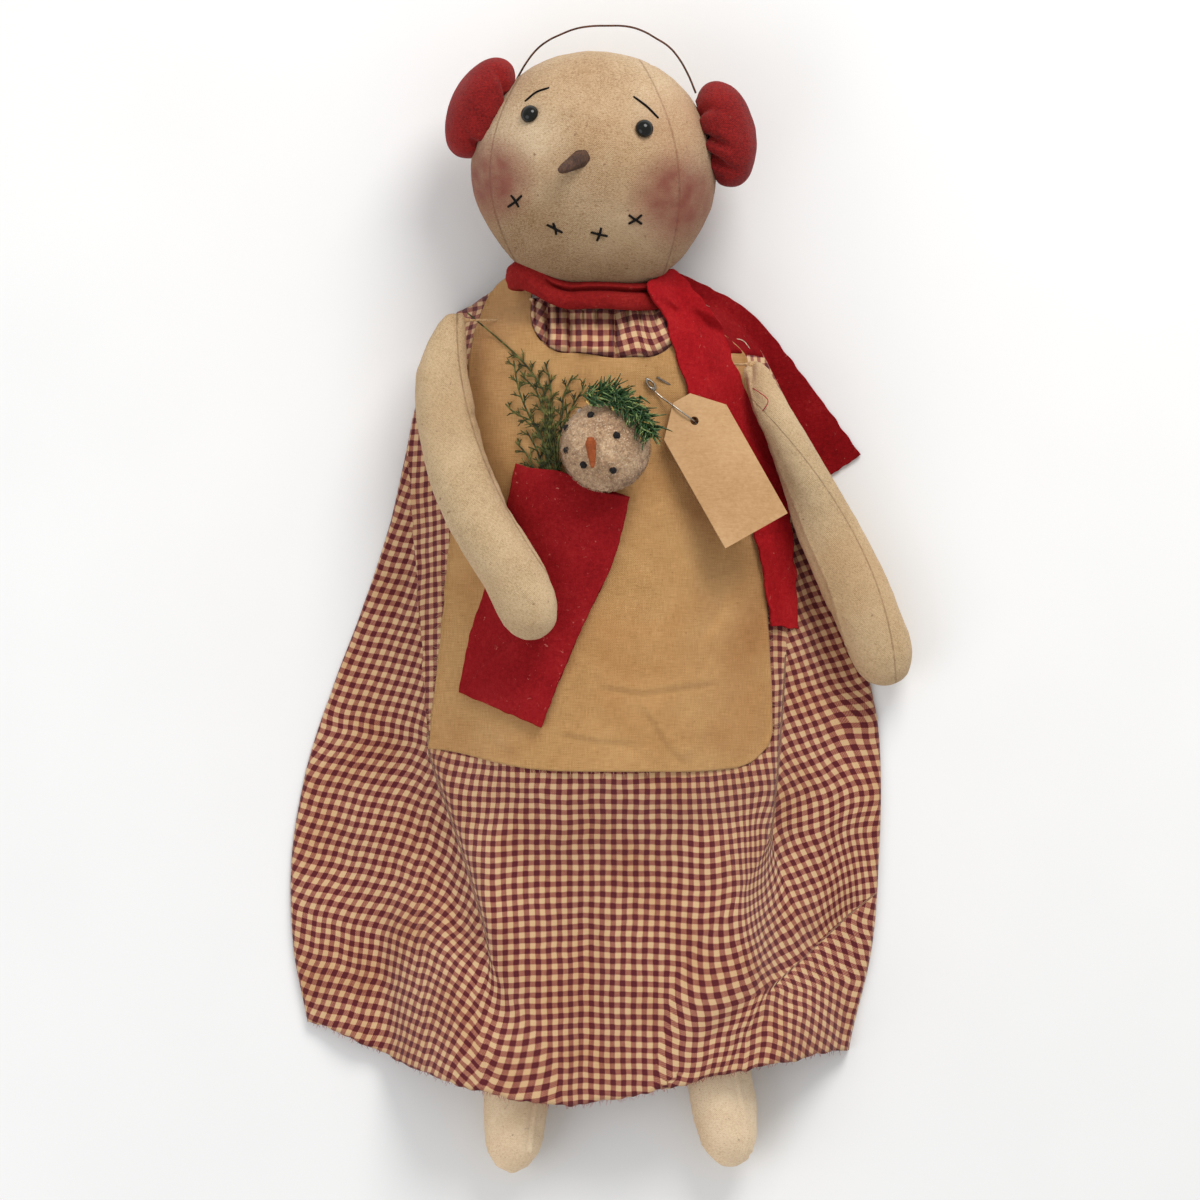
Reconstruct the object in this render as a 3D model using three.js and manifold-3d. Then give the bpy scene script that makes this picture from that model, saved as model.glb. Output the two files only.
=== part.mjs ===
// Primitive cloth doll lying on its back: +Z up off the surface, +Y towards the crown, +X to the viewer's
// right, in millimetres. The origin is on the surface, under the middle of the back of the dress.
import * as THREE from 'three';
import { mergeVertices } from 'three/addons/utils/BufferGeometryUtils.js';
import Module from 'manifold-3d';

const wasm = await Module();
wasm.setup();

// Clearances
const touchGap = 0.3;
const layerGap = 0.9;
const seamGap = 0.3;
const strokeGap = 0.4;
const neckGap = 0.8;
const bandGap = 0.6;

// Cloth and felt
const clothThickness = 1.2;
const apronThickness = 1.0;
const feltThickness = 1.8;

// Head: a stuffed ball that leans a little to the viewer's right
const headWidth = 132;
const headLength = 127;
const headDepth = 106;
const headCentreX = -3;
const headCentreY = 236;
const headLean = -7;
const headNodRange = [-6, 16];
const headTiltRange = [-8, 8];

// Neck stub, round at both ends so that the head can tilt and nod on it
const neckRadius = 20;
const neckCentreX = -5;
const neckCentreY = 166;

// Torso
const torsoAxisX = 2;
const torsoTopY = 160;
const torsoBottomY = -91;
const chestHalfWidth = 62;
const waistHalfWidth = 58;
const torsoHalfDepth = 32;

// Arms
const armRadius = 17.5;
const armPinchRadius = 7;
const leftShoulder = [-79, 152];
const rightShoulder = [83, 128];
const shoulderHeight = 38;
const stitchRadius = 1.7;

// Legs
const legRadius = 18;
const hipLineY = -96;
const leftSole = [-47, -312];
const rightSole = [71, -309];
const hipHalfSpread = 31;
const legSwing = 6;

// Dress
const dressTopY = 158;
const dressEdgeHeight = 2.8;
const hipDropLength = 120;

// Scarf
const wrapHalfWidth = 40;
const wrapHalfDepth = 30;
const wrapHeightZ = 47;
const wrapBandHalf = 7;
const wrapFeltHalf = 4;

// Face
const beadRadius = 4.5;
const threadRadius = 0.7;
const crossLength = 8;
const noseRadius = 5.2;
const noseLength = 24;

// Earmuffs and headband
const muffHalfThickness = 17;
const muffRadius = 29;
const muffHalfDepth = 25;
const bandWireRadius = 0.5;

// Snow-head ornament
const ballRadius = 24.5;
const ballHalfDepth = 19;
const ballCentre = [3, 83];
const dotRadius = 1.9;
const crownTubeRadius = 4;

// Safety pin and tag
const pinWidth = 8.5;
const pinWireRadius = 0.5;
const pinCoilRadius = 2.4;
const capLift = 1.9;
const capDepth = 2.4;
const tagLength = 82.6;
const tagWidth = 41.3;
const tagThickness = 0.8;
const tagCorner = 15;
const tagHoleRadius = 2.4;
const tagHoleInset = 10;
const tagSlope = 20;
const tagTurn = -60.5;
const tagHole = [51, 97];

// Stocking pocket
const pocketBulge = 6.5;

const degree = Math.PI / 180;
const vec = (x, y, z) => new THREE.Vector3(x, y, z);
const clamp = THREE.MathUtils.clamp;
const lerp = THREE.MathUtils.lerp;

// Smooth curve through a few [position, value] stations
function profile(stations) {
  const keys = stations.map((station) => station[0]);
  const rising = keys[keys.length - 1] > keys[0];
  return (position) => {
    const last = stations.length - 1;
    let i = 0;
    while (i < last - 1 && (rising ? position > keys[i + 1] : position < keys[i + 1])) i += 1;
    const t = clamp((position - keys[i]) / (keys[i + 1] - keys[i]), 0, 1);
    const value = (k) => stations[clamp(k, 0, last)][1];
    const slopeIn = (value(i + 1) - value(i - 1)) / 2;
    const slopeOut = (value(i + 2) - value(i)) / 2;
    const rise = value(i + 1) - value(i);
    const a = slopeIn + slopeOut - 2 * rise;
    const b = 3 * rise - 2 * slopeIn - slopeOut;
    return value(i) + t * (slopeIn + t * (b + t * a));
  };
}

// Smooth maximum, never less than either value
function smoothMax(a, b, blend) {
  return 0.5 * (a + b + Math.sqrt((a - b) * (a - b) + blend * blend));
}

// A closed mesh from vertices and triangles, turned so that its faces point out
function closedGeometry(points, triangles) {
  let volume = 0;
  for (const [a, b, c] of triangles) {
    volume += points[a].dot(points[b].clone().cross(points[c]));
  }
  const geometry = new THREE.BufferGeometry();
  const flat = points.flatMap((point) => [point.x, point.y, point.z]);
  geometry.setAttribute('position', new THREE.Float32BufferAttribute(flat, 3));
  geometry.setIndex(triangles.flatMap(([a, b, c]) => (volume > 0 ? [a, b, c] : [a, c, b])));
  return geometry;
}

// A skin over rings of equal count, closed by a point at each end
function skinRings(rings, firstTip, lastTip) {
  const count = rings[0].length;
  const points = rings.flat();
  const triangles = [];
  for (let r = 0; r < rings.length - 1; r += 1) {
    for (let k = 0; k < count; k += 1) {
      const a = r * count + k;
      const b = r * count + ((k + 1) % count);
      triangles.push([a, b, a + count], [b, b + count, a + count]);
    }
  }
  const first = points.push(firstTip) - 1;
  const last = points.push(lastTip) - 1;
  const top = (rings.length - 1) * count;
  for (let k = 0; k < count; k += 1) {
    const next = (k + 1) % count;
    triangles.push([first, next, k], [last, top + k, top + next]);
  }
  return closedGeometry(points, triangles);
}

// A stuffed form along a spine: round ends, half width and half depth given along its length
function stuffed({ spine, halfWidth, halfDepth, rings, sides, squareness = 2, grow = 0 }) {
  const curve = new THREE.CatmullRomCurve3(spine, false, 'centripetal');
  const sections = [];
  for (let i = 1; i < rings; i += 1) {
    const t = (1 - Math.cos((Math.PI * i) / rings)) / 2;
    const centre = curve.getPointAt(t);
    const along = curve.getTangentAt(t);
    const side = along.clone().cross(vec(0, 0, 1)).normalize();
    const up = side.clone().cross(along).normalize();
    const width = halfWidth(t) + grow;
    const depth = halfDepth(t) + grow;
    sections.push(Array.from({ length: sides }, (_, k) => {
      const angle = (2 * Math.PI * k) / sides;
      const c = Math.cos(angle);
      const s = Math.sin(angle);
      const round = (value) => Math.sign(value) * Math.abs(value) ** (2 / squareness);
      return centre.clone().addScaledVector(side, width * round(c)).addScaledVector(up, depth * round(s));
    }));
  }
  const startOut = curve.getTangentAt(0).multiplyScalar(-grow);
  const endOut = curve.getTangentAt(1).multiplyScalar(grow);
  return skinRings(sections, curve.getPointAt(0).add(startOut), curve.getPointAt(1).add(endOut));
}

// A round end on a stuffed form: the share of full radius at t along it, for a cap length at each end
function roundEnds(t, startCap, endCap) {
  const start = clamp((startCap - t) / startCap, 0, 1);
  const end = clamp((t - 1 + endCap) / endCap, 0, 1);
  return Math.sqrt(1 - start * start) * Math.sqrt(1 - end * end);
}

// A sheet of cloth over a grid, with its upper face given and its thickness below it
function clothSheet({ across, along, upper, thickness, grow = 0 }) {
  const points = [];
  const edge = (share) => (share === 0 ? -1 : Number(share === 1));
  for (const level of [grow, -thickness - grow]) {
    for (let j = 0; j <= along; j += 1) {
      for (let i = 0; i <= across; i += 1) {
        const u = i / across;
        const v = j / along;
        const point = upper(u, v);
        const step = 0.01;
        const du = upper(Math.min(u + step, 1), v).sub(upper(Math.max(u - step, 0), v)).normalize();
        const dv = upper(u, Math.min(v + step, 1)).sub(upper(u, Math.max(v - step, 0))).normalize();
        point.addScaledVector(du, edge(u) * grow).addScaledVector(dv, edge(v) * grow);
        points.push(point.setZ(point.z + level));
      }
    }
  }
  const row = across + 1;
  const layer = row * (along + 1);
  const triangles = [];
  const quad = (a, b, c, d) => triangles.push([a, b, c], [a, c, d]);
  for (let j = 0; j < along; j += 1) {
    for (let i = 0; i < across; i += 1) {
      const a = j * row + i;
      quad(a, a + 1, a + row + 1, a + row);
      quad(layer + a, layer + a + row, layer + a + row + 1, layer + a + 1);
    }
  }
  for (let i = 0; i < across; i += 1) {
    const end = along * row + i;
    quad(i, layer + i, layer + i + 1, i + 1);
    quad(end, end + 1, layer + end + 1, layer + end);
  }
  for (let j = 0; j < along; j += 1) {
    const a = j * row;
    const b = a + across;
    quad(a, a + row, layer + a + row, layer + a);
    quad(b, layer + b, layer + b + row, b + row);
  }
  return closedGeometry(points, triangles);
}

// A round wire, thread or stem along points
function wire(points, radius, steps, sides) {
  const section = new THREE.Shape();
  for (let k = 0; k < sides; k += 1) {
    const angle = (2 * Math.PI * k) / sides;
    const x = radius * Math.cos(angle);
    const y = radius * Math.sin(angle);
    if (k === 0) section.moveTo(x, y);
    else section.lineTo(x, y);
  }
  section.closePath();
  const extrudePath = new THREE.CatmullRomCurve3(points, false, 'centripetal');
  return new THREE.ExtrudeGeometry(section, { steps, extrudePath, bevelEnabled: false });
}

// A thin needle from its root to its tip, three or four sided
function needle(root, tip, radius, sides = 3) {
  const geometry = new THREE.ConeGeometry(radius, root.distanceTo(tip), sides);
  const turn = new THREE.Quaternion().setFromUnitVectors(vec(0, 1, 0), tip.clone().sub(root).normalize());
  geometry.applyQuaternion(turn);
  return geometry.translate((root.x + tip.x) / 2, (root.y + tip.y) / 2, (root.z + tip.z) / 2);
}

// Solid booleans
function solid(geometry) {
  const bare = geometry.clone();
  bare.deleteAttribute('normal');
  bare.deleteAttribute('uv');
  const merged = mergeVertices(bare, 1e-4);
  const vertProperties = new Float32Array(merged.attributes.position.array);
  const triVerts = new Uint32Array(merged.index.array);
  return new wasm.Manifold(new wasm.Mesh({ numProp: 3, vertProperties, triVerts }));
}

function surfaceOf(manifold) {
  const mesh = manifold.getMesh();
  const geometry = new THREE.BufferGeometry();
  geometry.setAttribute('position', new THREE.BufferAttribute(new Float32Array(mesh.vertProperties), 3));
  geometry.setIndex(new THREE.BufferAttribute(new Uint32Array(mesh.triVerts), 1));
  return geometry;
}

function cutBy(geometry, tools) {
  let result = solid(geometry);
  for (const tool of tools) {
    result = result.subtract(solid(tool));
  }
  return surfaceOf(largestBody(result));
}

// Crumbs that a cut leaves are dropped, the piece itself stays
function largestBody(manifold) {
  const bodies = manifold.decompose();
  return bodies.reduce((best, body) => (body.volume() > best.volume() ? body : best), bodies[0] ?? manifold);
}

function joined(geometries) {
  return surfaceOf(geometries.slice(1).reduce((sum, next) => sum.add(solid(next)), solid(geometries[0])));
}

// Height at which a ball of the given radius comes to rest over a surface
function restingHeight(surface, x, y, radius) {
  let height = 0;
  for (let ring = 0; ring <= 4; ring += 1) {
    const distance = (radius * ring) / 4.5;
    for (let k = 0; k < 16; k += 1) {
      const angle = (2 * Math.PI * k) / 16;
      const under = surface(x + distance * Math.cos(angle), y + distance * Math.sin(angle));
      height = Math.max(height, under + Math.sqrt(radius * radius - distance * distance));
    }
  }
  return height;
}

// Torso, whose section is a rounded oval resting on the back of the dress
const backTop = clothThickness + touchGap;
const torsoZ = backTop + torsoHalfDepth;
const torsoSquareness = 2.2;
const coverShare = 0.86;
const coverEnd = 0.8;
const coverEase = 1.5;
const shoulderEase = 3.5;
const coverSlope = 0.9;
const torsoLength = torsoTopY - torsoBottomY;
const torsoWidthAt = profile([
  [0, 0.35 * chestHalfWidth], [0.04, 0.83 * chestHalfWidth], [0.1, 0.97 * chestHalfWidth],
  [0.2, chestHalfWidth], [0.4, 0.5 * (chestHalfWidth + waistHalfWidth)], [0.62, waistHalfWidth],
  [0.85, waistHalfWidth], [0.95, 0.8 * waistHalfWidth], [1, 0.35 * waistHalfWidth],
]);
const torsoSwell = profile([
  [0, 0.3], [0.04, 0.66], [0.1, 0.88], [0.25, 1], [0.8, 1], [0.93, 0.75], [1, 0.3],
]);
const torsoDepthAt = (t) => torsoHalfDepth * Math.min(torsoSwell(t), 1);

function torsoForm(grow = 0) {
  return stuffed({
    spine: [vec(torsoAxisX, torsoTopY, torsoZ), vec(torsoAxisX, torsoBottomY, torsoZ)],
    halfWidth: torsoWidthAt,
    halfDepth: torsoDepthAt,
    rings: 14,
    sides: 22,
    squareness: torsoSquareness,
    grow,
  });
}

// Cloth over the torso: it leaves the body at the shoulder of the section and falls straight to the surface
function torsoCover(x, y, edgeX) {
  const t = clamp((torsoTopY - y) / torsoLength, 0.02, coverEnd);
  const off = Math.abs(x - torsoAxisX);
  const leave = coverShare * torsoWidthAt(t);
  const share = Math.min(off / torsoWidthAt(t), coverShare);
  const ease = coverEase + shoulderEase * clamp((y - torsoTopY + 55) / 40, 0, 1);
  const top = torsoZ + torsoDepthAt(t) * (1 - share ** torsoSquareness) ** (1 / torsoSquareness) + ease;
  const run = Math.min(Math.abs(edgeX - torsoAxisX) - leave, top / coverSlope);
  return top * (1 - Math.max(off - leave, 0) / run);
}

// Legs, whose tops sit under the hip line inside the skirt
const legZ = backTop + legRadius;
const legTopY = hipLineY - touchGap - 1;

function legForm(sole, side, grow = 0) {
  const top = [torsoAxisX + side * hipHalfSpread, legTopY];
  const middle = [lerp(top[0], sole[0], 0.55), lerp(top[1], sole[1], 0.5)];
  return stuffed({
    spine: [vec(...top, legZ), vec(...middle, legZ), vec(...sole, legZ)],
    halfWidth: (t) => legRadius * roundEnds(t, 0.09, 0.13) * (0.98 + 0.06 * Math.sin(3 * t)),
    halfDepth: (t) => legRadius * roundEnds(t, 0.09, 0.13),
    rings: 12,
    sides: 12,
    grow,
  });
}

// Outline of the dress seen from above
const dressLeft = profile([
  [160, -76], [150, -84], [135, -94], [100, -102], [43, -114], [0, -128], [-52, -147], [-92, -160],
  [-140, -168], [-190, -167], [-240, -158],
]);
const dressRight = profile([
  [160, 66], [150, 76], [135, 89], [100, 106], [43, 122], [0, 134], [-54, 149], [-92, 153], [-140, 152],
  [-190, 148], [-250, 135],
]);
const hemAcross = profile([
  [0, -230], [0.12, -245], [0.26, -262], [0.4, -272], [0.5, -274], [0.62, -268], [0.75, -259],
  [0.9, -250], [1, -245],
]);

// Fullness of the gathered cloth, and the creases that draw it in
const skirtFullness = profile([[160, 0], [60, 0], [0, 1], [-60, 2.5], [-110, 6], [-200, 9], [-280, 9]]);
const creases = [
  { from: [-97, -92], to: [-56, -225], width: 9 },
  { from: [101, -100], to: [92, -205], width: 8 },
  { from: [140, -160], to: [60, -250], width: 9 },
  { from: [-135, -120], to: [-112, -250], width: 9 },
  { from: [-12, -150], to: [2, -290], width: 11 },
  { from: [-128, -30], to: [-150, -150], width: 7 },
];

function creaseShare(x, y) {
  let share = 0;
  for (const { from, to, width } of creases) {
    const along = [to[0] - from[0], to[1] - from[1]];
    const length = Math.hypot(...along);
    const t = ((x - from[0]) * along[0] + (y - from[1]) * along[1]) / (length * length);
    const off = ((x - from[0]) * along[1] - (y - from[1]) * along[0]) / length;
    const ends = clamp(t * 4, 0, 1) * clamp((1.15 - t) * 4, 0, 1);
    share += ends * Math.exp(-((off / width) ** 2));
  }
  return Math.min(share, 1);
}

// The legs and the room that they swing in, which the skirt's front stands over
function legCoverSides(y) {
  const t = clamp((legTopY - y) / (legTopY - leftSole[1]), 0, 1);
  const swingRoom = Math.max(legTopY - y, 0) * Math.sin(legSwing * degree) + 3;
  const left = lerp(torsoAxisX - hipHalfSpread, leftSole[0], t) - legRadius - swingRoom;
  const right = lerp(torsoAxisX + hipHalfSpread, rightSole[0], t) + legRadius + swingRoom;
  return [left, right];
}

function legCover(x, y, edgeX) {
  const [left, right] = legCoverSides(y);
  const beyond = Math.max(x < torsoAxisX ? left - x : x - right, 0);
  const rise = clamp((legTopY + 3 * legRadius - y) / (2 * legRadius), 0, 1);
  const top = (legZ + legRadius + coverEase) * rise;
  const room = x < torsoAxisX ? left - edgeX : edgeX - right;
  return top * (1 - beyond / Math.max(Math.min(room, top / coverSlope), 1));
}

function dressUpper(x, y) {
  const edgeX = x < torsoAxisX ? dressLeft(y) : dressRight(y);
  const across = clamp((x - torsoAxisX) / (edgeX - torsoAxisX), 0, 1);
  const body = torsoEnd(y) * torsoCover(x, y, edgeX);
  const cover = smoothMax(Math.max(body, 0), Math.max(legCover(x, y, edgeX), 0), 3);
  const fullness = skirtFullness(y) * (1 - creaseShare(x, y)) * (1 - across ** 6);
  return Math.max(cover + clothThickness + touchGap, dressEdgeHeight) + fullness;
}

// The cloth slopes down from the torso to the legs below the hip line
function torsoEnd(y) {
  return clamp(1 - (hipLineY - y) / hipDropLength, 0, 1);
}

// Places across a sheet: the flanks take the same share of its columns at either side of the body
function acrossBody(u, left, right, y, flankShare) {
  const t = clamp((torsoTopY - y) / torsoLength, 0.02, coverEnd);
  const leave = coverShare * torsoWidthAt(t);
  const [legLeft, legRight] = legCoverSides(y);
  const below = clamp((hipLineY + 20 - y) / 40, 0, 1);
  const kinkLeft = lerp(torsoAxisX - leave, legLeft, below);
  const kinkRight = lerp(torsoAxisX + leave, legRight, below);
  if (u < flankShare) return lerp(left, kinkLeft, u / flankShare);
  if (u > 1 - flankShare) return lerp(right, kinkRight, (1 - u) / flankShare);
  return lerp(kinkLeft, kinkRight, (u - flankShare) / (1 - 2 * flankShare));
}

// Rows of a sheet, closer together at the shoulder and at the hip line
function rowShare(v) {
  return lerp(v, (1 - Math.cos(Math.PI * v)) / 2, 0.65);
}

function dressPoint(topY, bottomY, flankShare, rows) {
  return (u, v) => {
    const y = lerp(topY, bottomY(u), rows(v));
    const x = acrossBody(u, dressLeft(y), dressRight(y), y, flankShare);
    return vec(x, y, dressUpper(x, y));
  };
}

function dressBackPoint(topY, bottomY) {
  return (u, v) => {
    const y = lerp(topY, bottomY(u), v);
    return vec(lerp(dressLeft(y), dressRight(y), u), y, clothThickness);
  };
}

const bodiceBottom = () => hipLineY + seamGap / 2;
const skirtTop = hipLineY - seamGap / 2;

function bodiceFront(grow = 0) {
  const upper = dressPoint(dressTopY, bodiceBottom, 4 / 20, rowShare);
  return clothSheet({ across: 20, along: 12, upper, thickness: clothThickness, grow });
}

function skirtFront(grow = 0) {
  const upper = dressPoint(skirtTop, hemAcross, 9 / 30, (v) => v);
  return clothSheet({ across: 30, along: 12, upper, thickness: clothThickness, grow });
}

function bodiceBack(grow = 0) {
  const upper = dressBackPoint(dressTopY, bodiceBottom);
  return clothSheet({ across: 1, along: 10, upper, thickness: clothThickness, grow });
}

function skirtBack() {
  const upper = dressBackPoint(skirtTop, (u) => hemAcross(u) + 2);
  return clothSheet({ across: 10, along: 5, upper, thickness: clothThickness });
}

// Where the safety pin lies: its cap end, and places along it and beside its middle line
const pinAngle = -36;
const pinReach = 33;
const pinAlong = [Math.cos(pinAngle * degree), Math.sin(pinAngle * degree)];
const pinHalf = pinWidth / 2;
const pinStart = [
  tagHole[0] - pinReach * pinAlong[0] - pinHalf * pinAlong[1],
  tagHole[1] - pinReach * pinAlong[1] + pinHalf * pinAlong[0],
];
const pinBump = { reach: 20, height: 2.6, radius: 11 };

function pinSpot(along, aside) {
  const x = pinStart[0] + along * pinAlong[0] - aside * pinAlong[1];
  const y = pinStart[1] + along * pinAlong[1] + aside * pinAlong[0];
  return [x, y];
}

// Apron with a scooped neck and straps over the shoulders
const apronLeft = profile([[166, -57], [148, -66], [130, -71], [80, -77], [22, -83], [-40, -89], [-92, -94]]);
const apronRight = profile([[166, 54], [148, 63], [130, 76], [80, 86], [-8, 91], [-60, 94], [-92, 86]]);
const apronHem = profile([[0, -80], [0.2, -89], [0.4, -92.5], [0.7, -93], [0.94, -90], [1, -76]]);
const apronTopY = 157.5;
const neckScoop = { left: -36, right: 41, bottom: 134, round: 12 };

// The apron lies on the dress and stands up a little over the needle of the safety pin
function apronUpper(x, y) {
  const [bumpX, bumpY] = pinSpot(pinBump.reach, pinHalf);
  const distance = Math.hypot(x - bumpX, y - bumpY) / pinBump.radius;
  const strapLift = clamp((y - apronTopY + 20) / 15, 0, 1);
  const needleLift = pinBump.height * Math.exp(-distance * distance);
  return dressUpper(x, y) + layerGap + strapLift + apronThickness + needleLift;
}

function apronPoint(u, v) {
  const y = lerp(apronTopY, apronHem(u), rowShare(v));
  const x = acrossBody(u, apronLeft(y), apronRight(y), y, 4 / 20);
  return vec(x, y, apronUpper(x, y));
}

function scoopCutter(grow = 0) {
  const { left, right, bottom, round } = neckScoop;
  const above = apronTopY + 2 * round;
  const shape = new THREE.Shape();
  shape.moveTo(left - grow, above);
  shape.lineTo(left - grow, bottom + round);
  shape.quadraticCurveTo(left - grow, bottom - grow, left + round, bottom - grow);
  shape.lineTo(right - round, bottom - grow);
  shape.quadraticCurveTo(right + grow, bottom - grow, right + grow, bottom + round);
  shape.lineTo(right + grow, above);
  shape.closePath();
  const depth = 4 * torsoHalfDepth;
  const geometry = new THREE.ExtrudeGeometry(shape, { depth, bevelEnabled: false, curveSegments: 5 });
  return geometry.translate(0, 0, 10);
}

function apronForm(grow = 0) {
  const sheet = { across: 20, along: 12, upper: apronPoint, thickness: apronThickness, grow };
  return clothSheet(sheet);
}

// Gathered neck of the dress, seen inside the apron's scoop
function neckRuffle() {
  const { left, right, bottom } = neckScoop;
  const inset = strokeGap + 0.5;
  const gathers = 4;
  const upper = (u, v) => {
    const x = lerp(left + inset, right - inset, u);
    const lower = bottom + inset + 10 * Math.abs(2 * u - 1) ** 4;
    const y = lerp(dressTopY, lower, v);
    const gather = 1.1 * (1 - Math.cos(2 * Math.PI * gathers * u)) * (1 - 0.6 * v);
    const corner = 5 * Math.abs(2 * u - 1) ** 4 * (1 - v);
    return vec(x, y, dressUpper(x, y) + layerGap + corner + clothThickness + gather);
  };
  return clothSheet({ across: 24, along: 3, upper, thickness: clothThickness });
}

// Felt stocking pinned to the apron: a flat back and a front that stands off it at the mouth
const pocketLeft = new THREE.SplineCurve([
  new THREE.Vector2(-46, 74), new THREE.Vector2(-52, 45), new THREE.Vector2(-63, 5),
  new THREE.Vector2(-71, -20), new THREE.Vector2(-77, -50),
]);
const pocketRight = new THREE.SplineCurve([
  new THREE.Vector2(16, 56), new THREE.Vector2(8, 23), new THREE.Vector2(-5, -5),
  new THREE.Vector2(-16, -29), new THREE.Vector2(-32, -69),
]);

function pocketSpot(u, v) {
  const a = pocketLeft.getPoint(v);
  const b = pocketRight.getPoint(v);
  return [lerp(a.x, b.x, u), lerp(a.y, b.y, u) - 2 * Math.sin(Math.PI * u) * (1 - v)];
}

function pocketBackPoint(u, v) {
  const [x, y] = pocketSpot(u, v);
  return vec(x, y, apronUpper(x, y) + layerGap + feltThickness);
}

function pocketFrontPoint(u, v) {
  const point = pocketBackPoint(u, v);
  const bulge = (pocketBulge * (1 - v) ** 1.3 + 1.2 * v) * Math.sin(Math.PI * u) ** 0.6;
  return point.setZ(point.z + layerGap - 0.3 + bulge + feltThickness);
}

function pocketFront(grow = 0) {
  const sheet = { across: 12, along: 9, upper: pocketFrontPoint, thickness: feltThickness, grow };
  return clothSheet(sheet);
}

function pocketBack(grow = 0) {
  const sheet = { across: 9, along: 9, upper: pocketBackPoint, thickness: feltThickness, grow };
  return clothSheet(sheet);
}

// Height of everything that lies on the chest and belly, for what rests on top of it
function chestUpper(x, y) {
  const inApron = y < 165 && y > -94 && x > apronLeft(y) && x < apronRight(y);
  let height = inApron ? apronUpper(x, y) : dressUpper(x, y);
  const nearPocket = y < 80 && y > -74;
  if (nearPocket) {
    const v = clamp((65 - y) / 125, 0, 1);
    const a = pocketLeft.getPoint(v);
    const b = pocketRight.getPoint(v);
    const u = (x - a.x) / (b.x - a.x);
    if (u > -0.05 && u < 1.05) height = pocketFrontPoint(clamp(u, 0, 1), v).z;
  }
  return height;
}

// Head
const headZ = headDepth / 2 - 0.5;

function headForm(grow = 0) {
  const geometry = new THREE.SphereGeometry(1, 28, 18);
  geometry.rotateX(Math.PI / 2);
  const position = geometry.attributes.position;
  for (let i = 0; i < position.count; i += 1) {
    const y = position.getY(i);
    const full = 1 + 0.025 * Math.sin(Math.PI * clamp(-y, -1, 1)) * (1 - position.getZ(i) ** 2);
    position.setX(i, position.getX(i) * full);
  }
  geometry.scale(headWidth / 2 + grow, headLength / 2 + grow, headDepth / 2 + grow);
  geometry.rotateZ(headLean * degree);
  return geometry.translate(headCentreX, headCentreY, headZ);
}

// Point on the face above a place in the picture plane, raised off the surface
function onFace(x, y, raise = 0) {
  const turned = vec(x - headCentreX, y - headCentreY, 0).applyAxisAngle(vec(0, 0, 1), -headLean * degree);
  const a = turned.x / (headWidth / 2);
  const b = turned.y / (headLength / 2);
  const height = (headDepth / 2) * Math.sqrt(Math.max(1 - a * a - b * b, 0));
  const normal = vec(a / headWidth, b / headLength, height / (headDepth / 2) / headDepth).normalize();
  const spot = vec(turned.x, turned.y, height).addScaledVector(normal, raise);
  spot.applyAxisAngle(vec(0, 0, 1), headLean * degree);
  return spot.add(vec(headCentreX, headCentreY, headZ));
}

const neckCentre = vec(neckCentreX, neckCentreY, torsoZ + 13);

function neckBall(grow = 0) {
  const geometry = new THREE.SphereGeometry(neckRadius + grow, 16, 12);
  return geometry.translate(neckCentre.x, neckCentre.y, neckCentre.z);
}

// The head in every corner of its range, for what has to stay clear of it
function headSweep(grow) {
  const poses = [];
  for (const tilt of [headTiltRange[0], 0, headTiltRange[1]]) {
    for (const nod of [headNodRange[0], 0, headNodRange[1]]) {
      const geometry = headForm(grow);
      geometry.translate(-neckCentre.x, -neckCentre.y, -neckCentre.z);
      geometry.rotateX(nod * degree);
      geometry.rotateZ(tilt * degree);
      poses.push(geometry.translate(neckCentre.x, neckCentre.y, neckCentre.z));
    }
  }
  return poses;
}

function headPiece() {
  return cutBy(headForm(), [neckBall(neckGap), floorCut()]);
}

// Everything below the surface that the doll lies on
function floorCut() {
  const block = new THREE.BoxGeometry(2 * headWidth, 2 * headLength, headDepth);
  return block.translate(headCentreX, headCentreY, -headDepth / 2);
}

function torsoPiece() {
  return cutBy(torsoForm(), [neckBall(neckGap)]);
}

// Scarf: a felt wrap round the neck and two tails
function wrapForm(grow = 0) {
  const turns = 28;
  const sides = 8;
  const points = [];
  const triangles = [];
  for (let i = 0; i < turns; i += 1) {
    const a = (2 * Math.PI * i) / turns;
    for (let k = 0; k < sides; k += 1) {
      const b = (2 * Math.PI * k) / sides;
      const out = (wrapFeltHalf + grow) * Math.cos(b);
      const slant = 4 * Math.cos(a);
      const x = neckCentreX + (wrapHalfWidth + out) * Math.cos(a);
      const z = wrapHeightZ + (wrapHalfDepth + out) * Math.sin(a);
      points.push(vec(x, neckCentreY + 2 - slant + (wrapBandHalf + grow) * Math.sin(b), z));
      const next = ((i + 1) % turns) * sides;
      const here = i * sides;
      const k2 = (k + 1) % sides;
      triangles.push([here + k, next + k, here + k2], [here + k2, next + k, next + k2]);
    }
  }
  return closedGeometry(points, triangles);
}

const tailLift = 3 * layerGap;
const tailLeft = new THREE.SplineCurve([
  new THREE.Vector2(20, 166), new THREE.Vector2(38, 137), new THREE.Vector2(50, 108),
  new THREE.Vector2(68, 72), new THREE.Vector2(84, 38), new THREE.Vector2(94, -14),
]);
const tailRight = new THREE.SplineCurve([
  new THREE.Vector2(50, 168), new THREE.Vector2(63, 147), new THREE.Vector2(75, 122),
  new THREE.Vector2(93, 80), new THREE.Vector2(104, 44), new THREE.Vector2(108, -16),
]);

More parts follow.
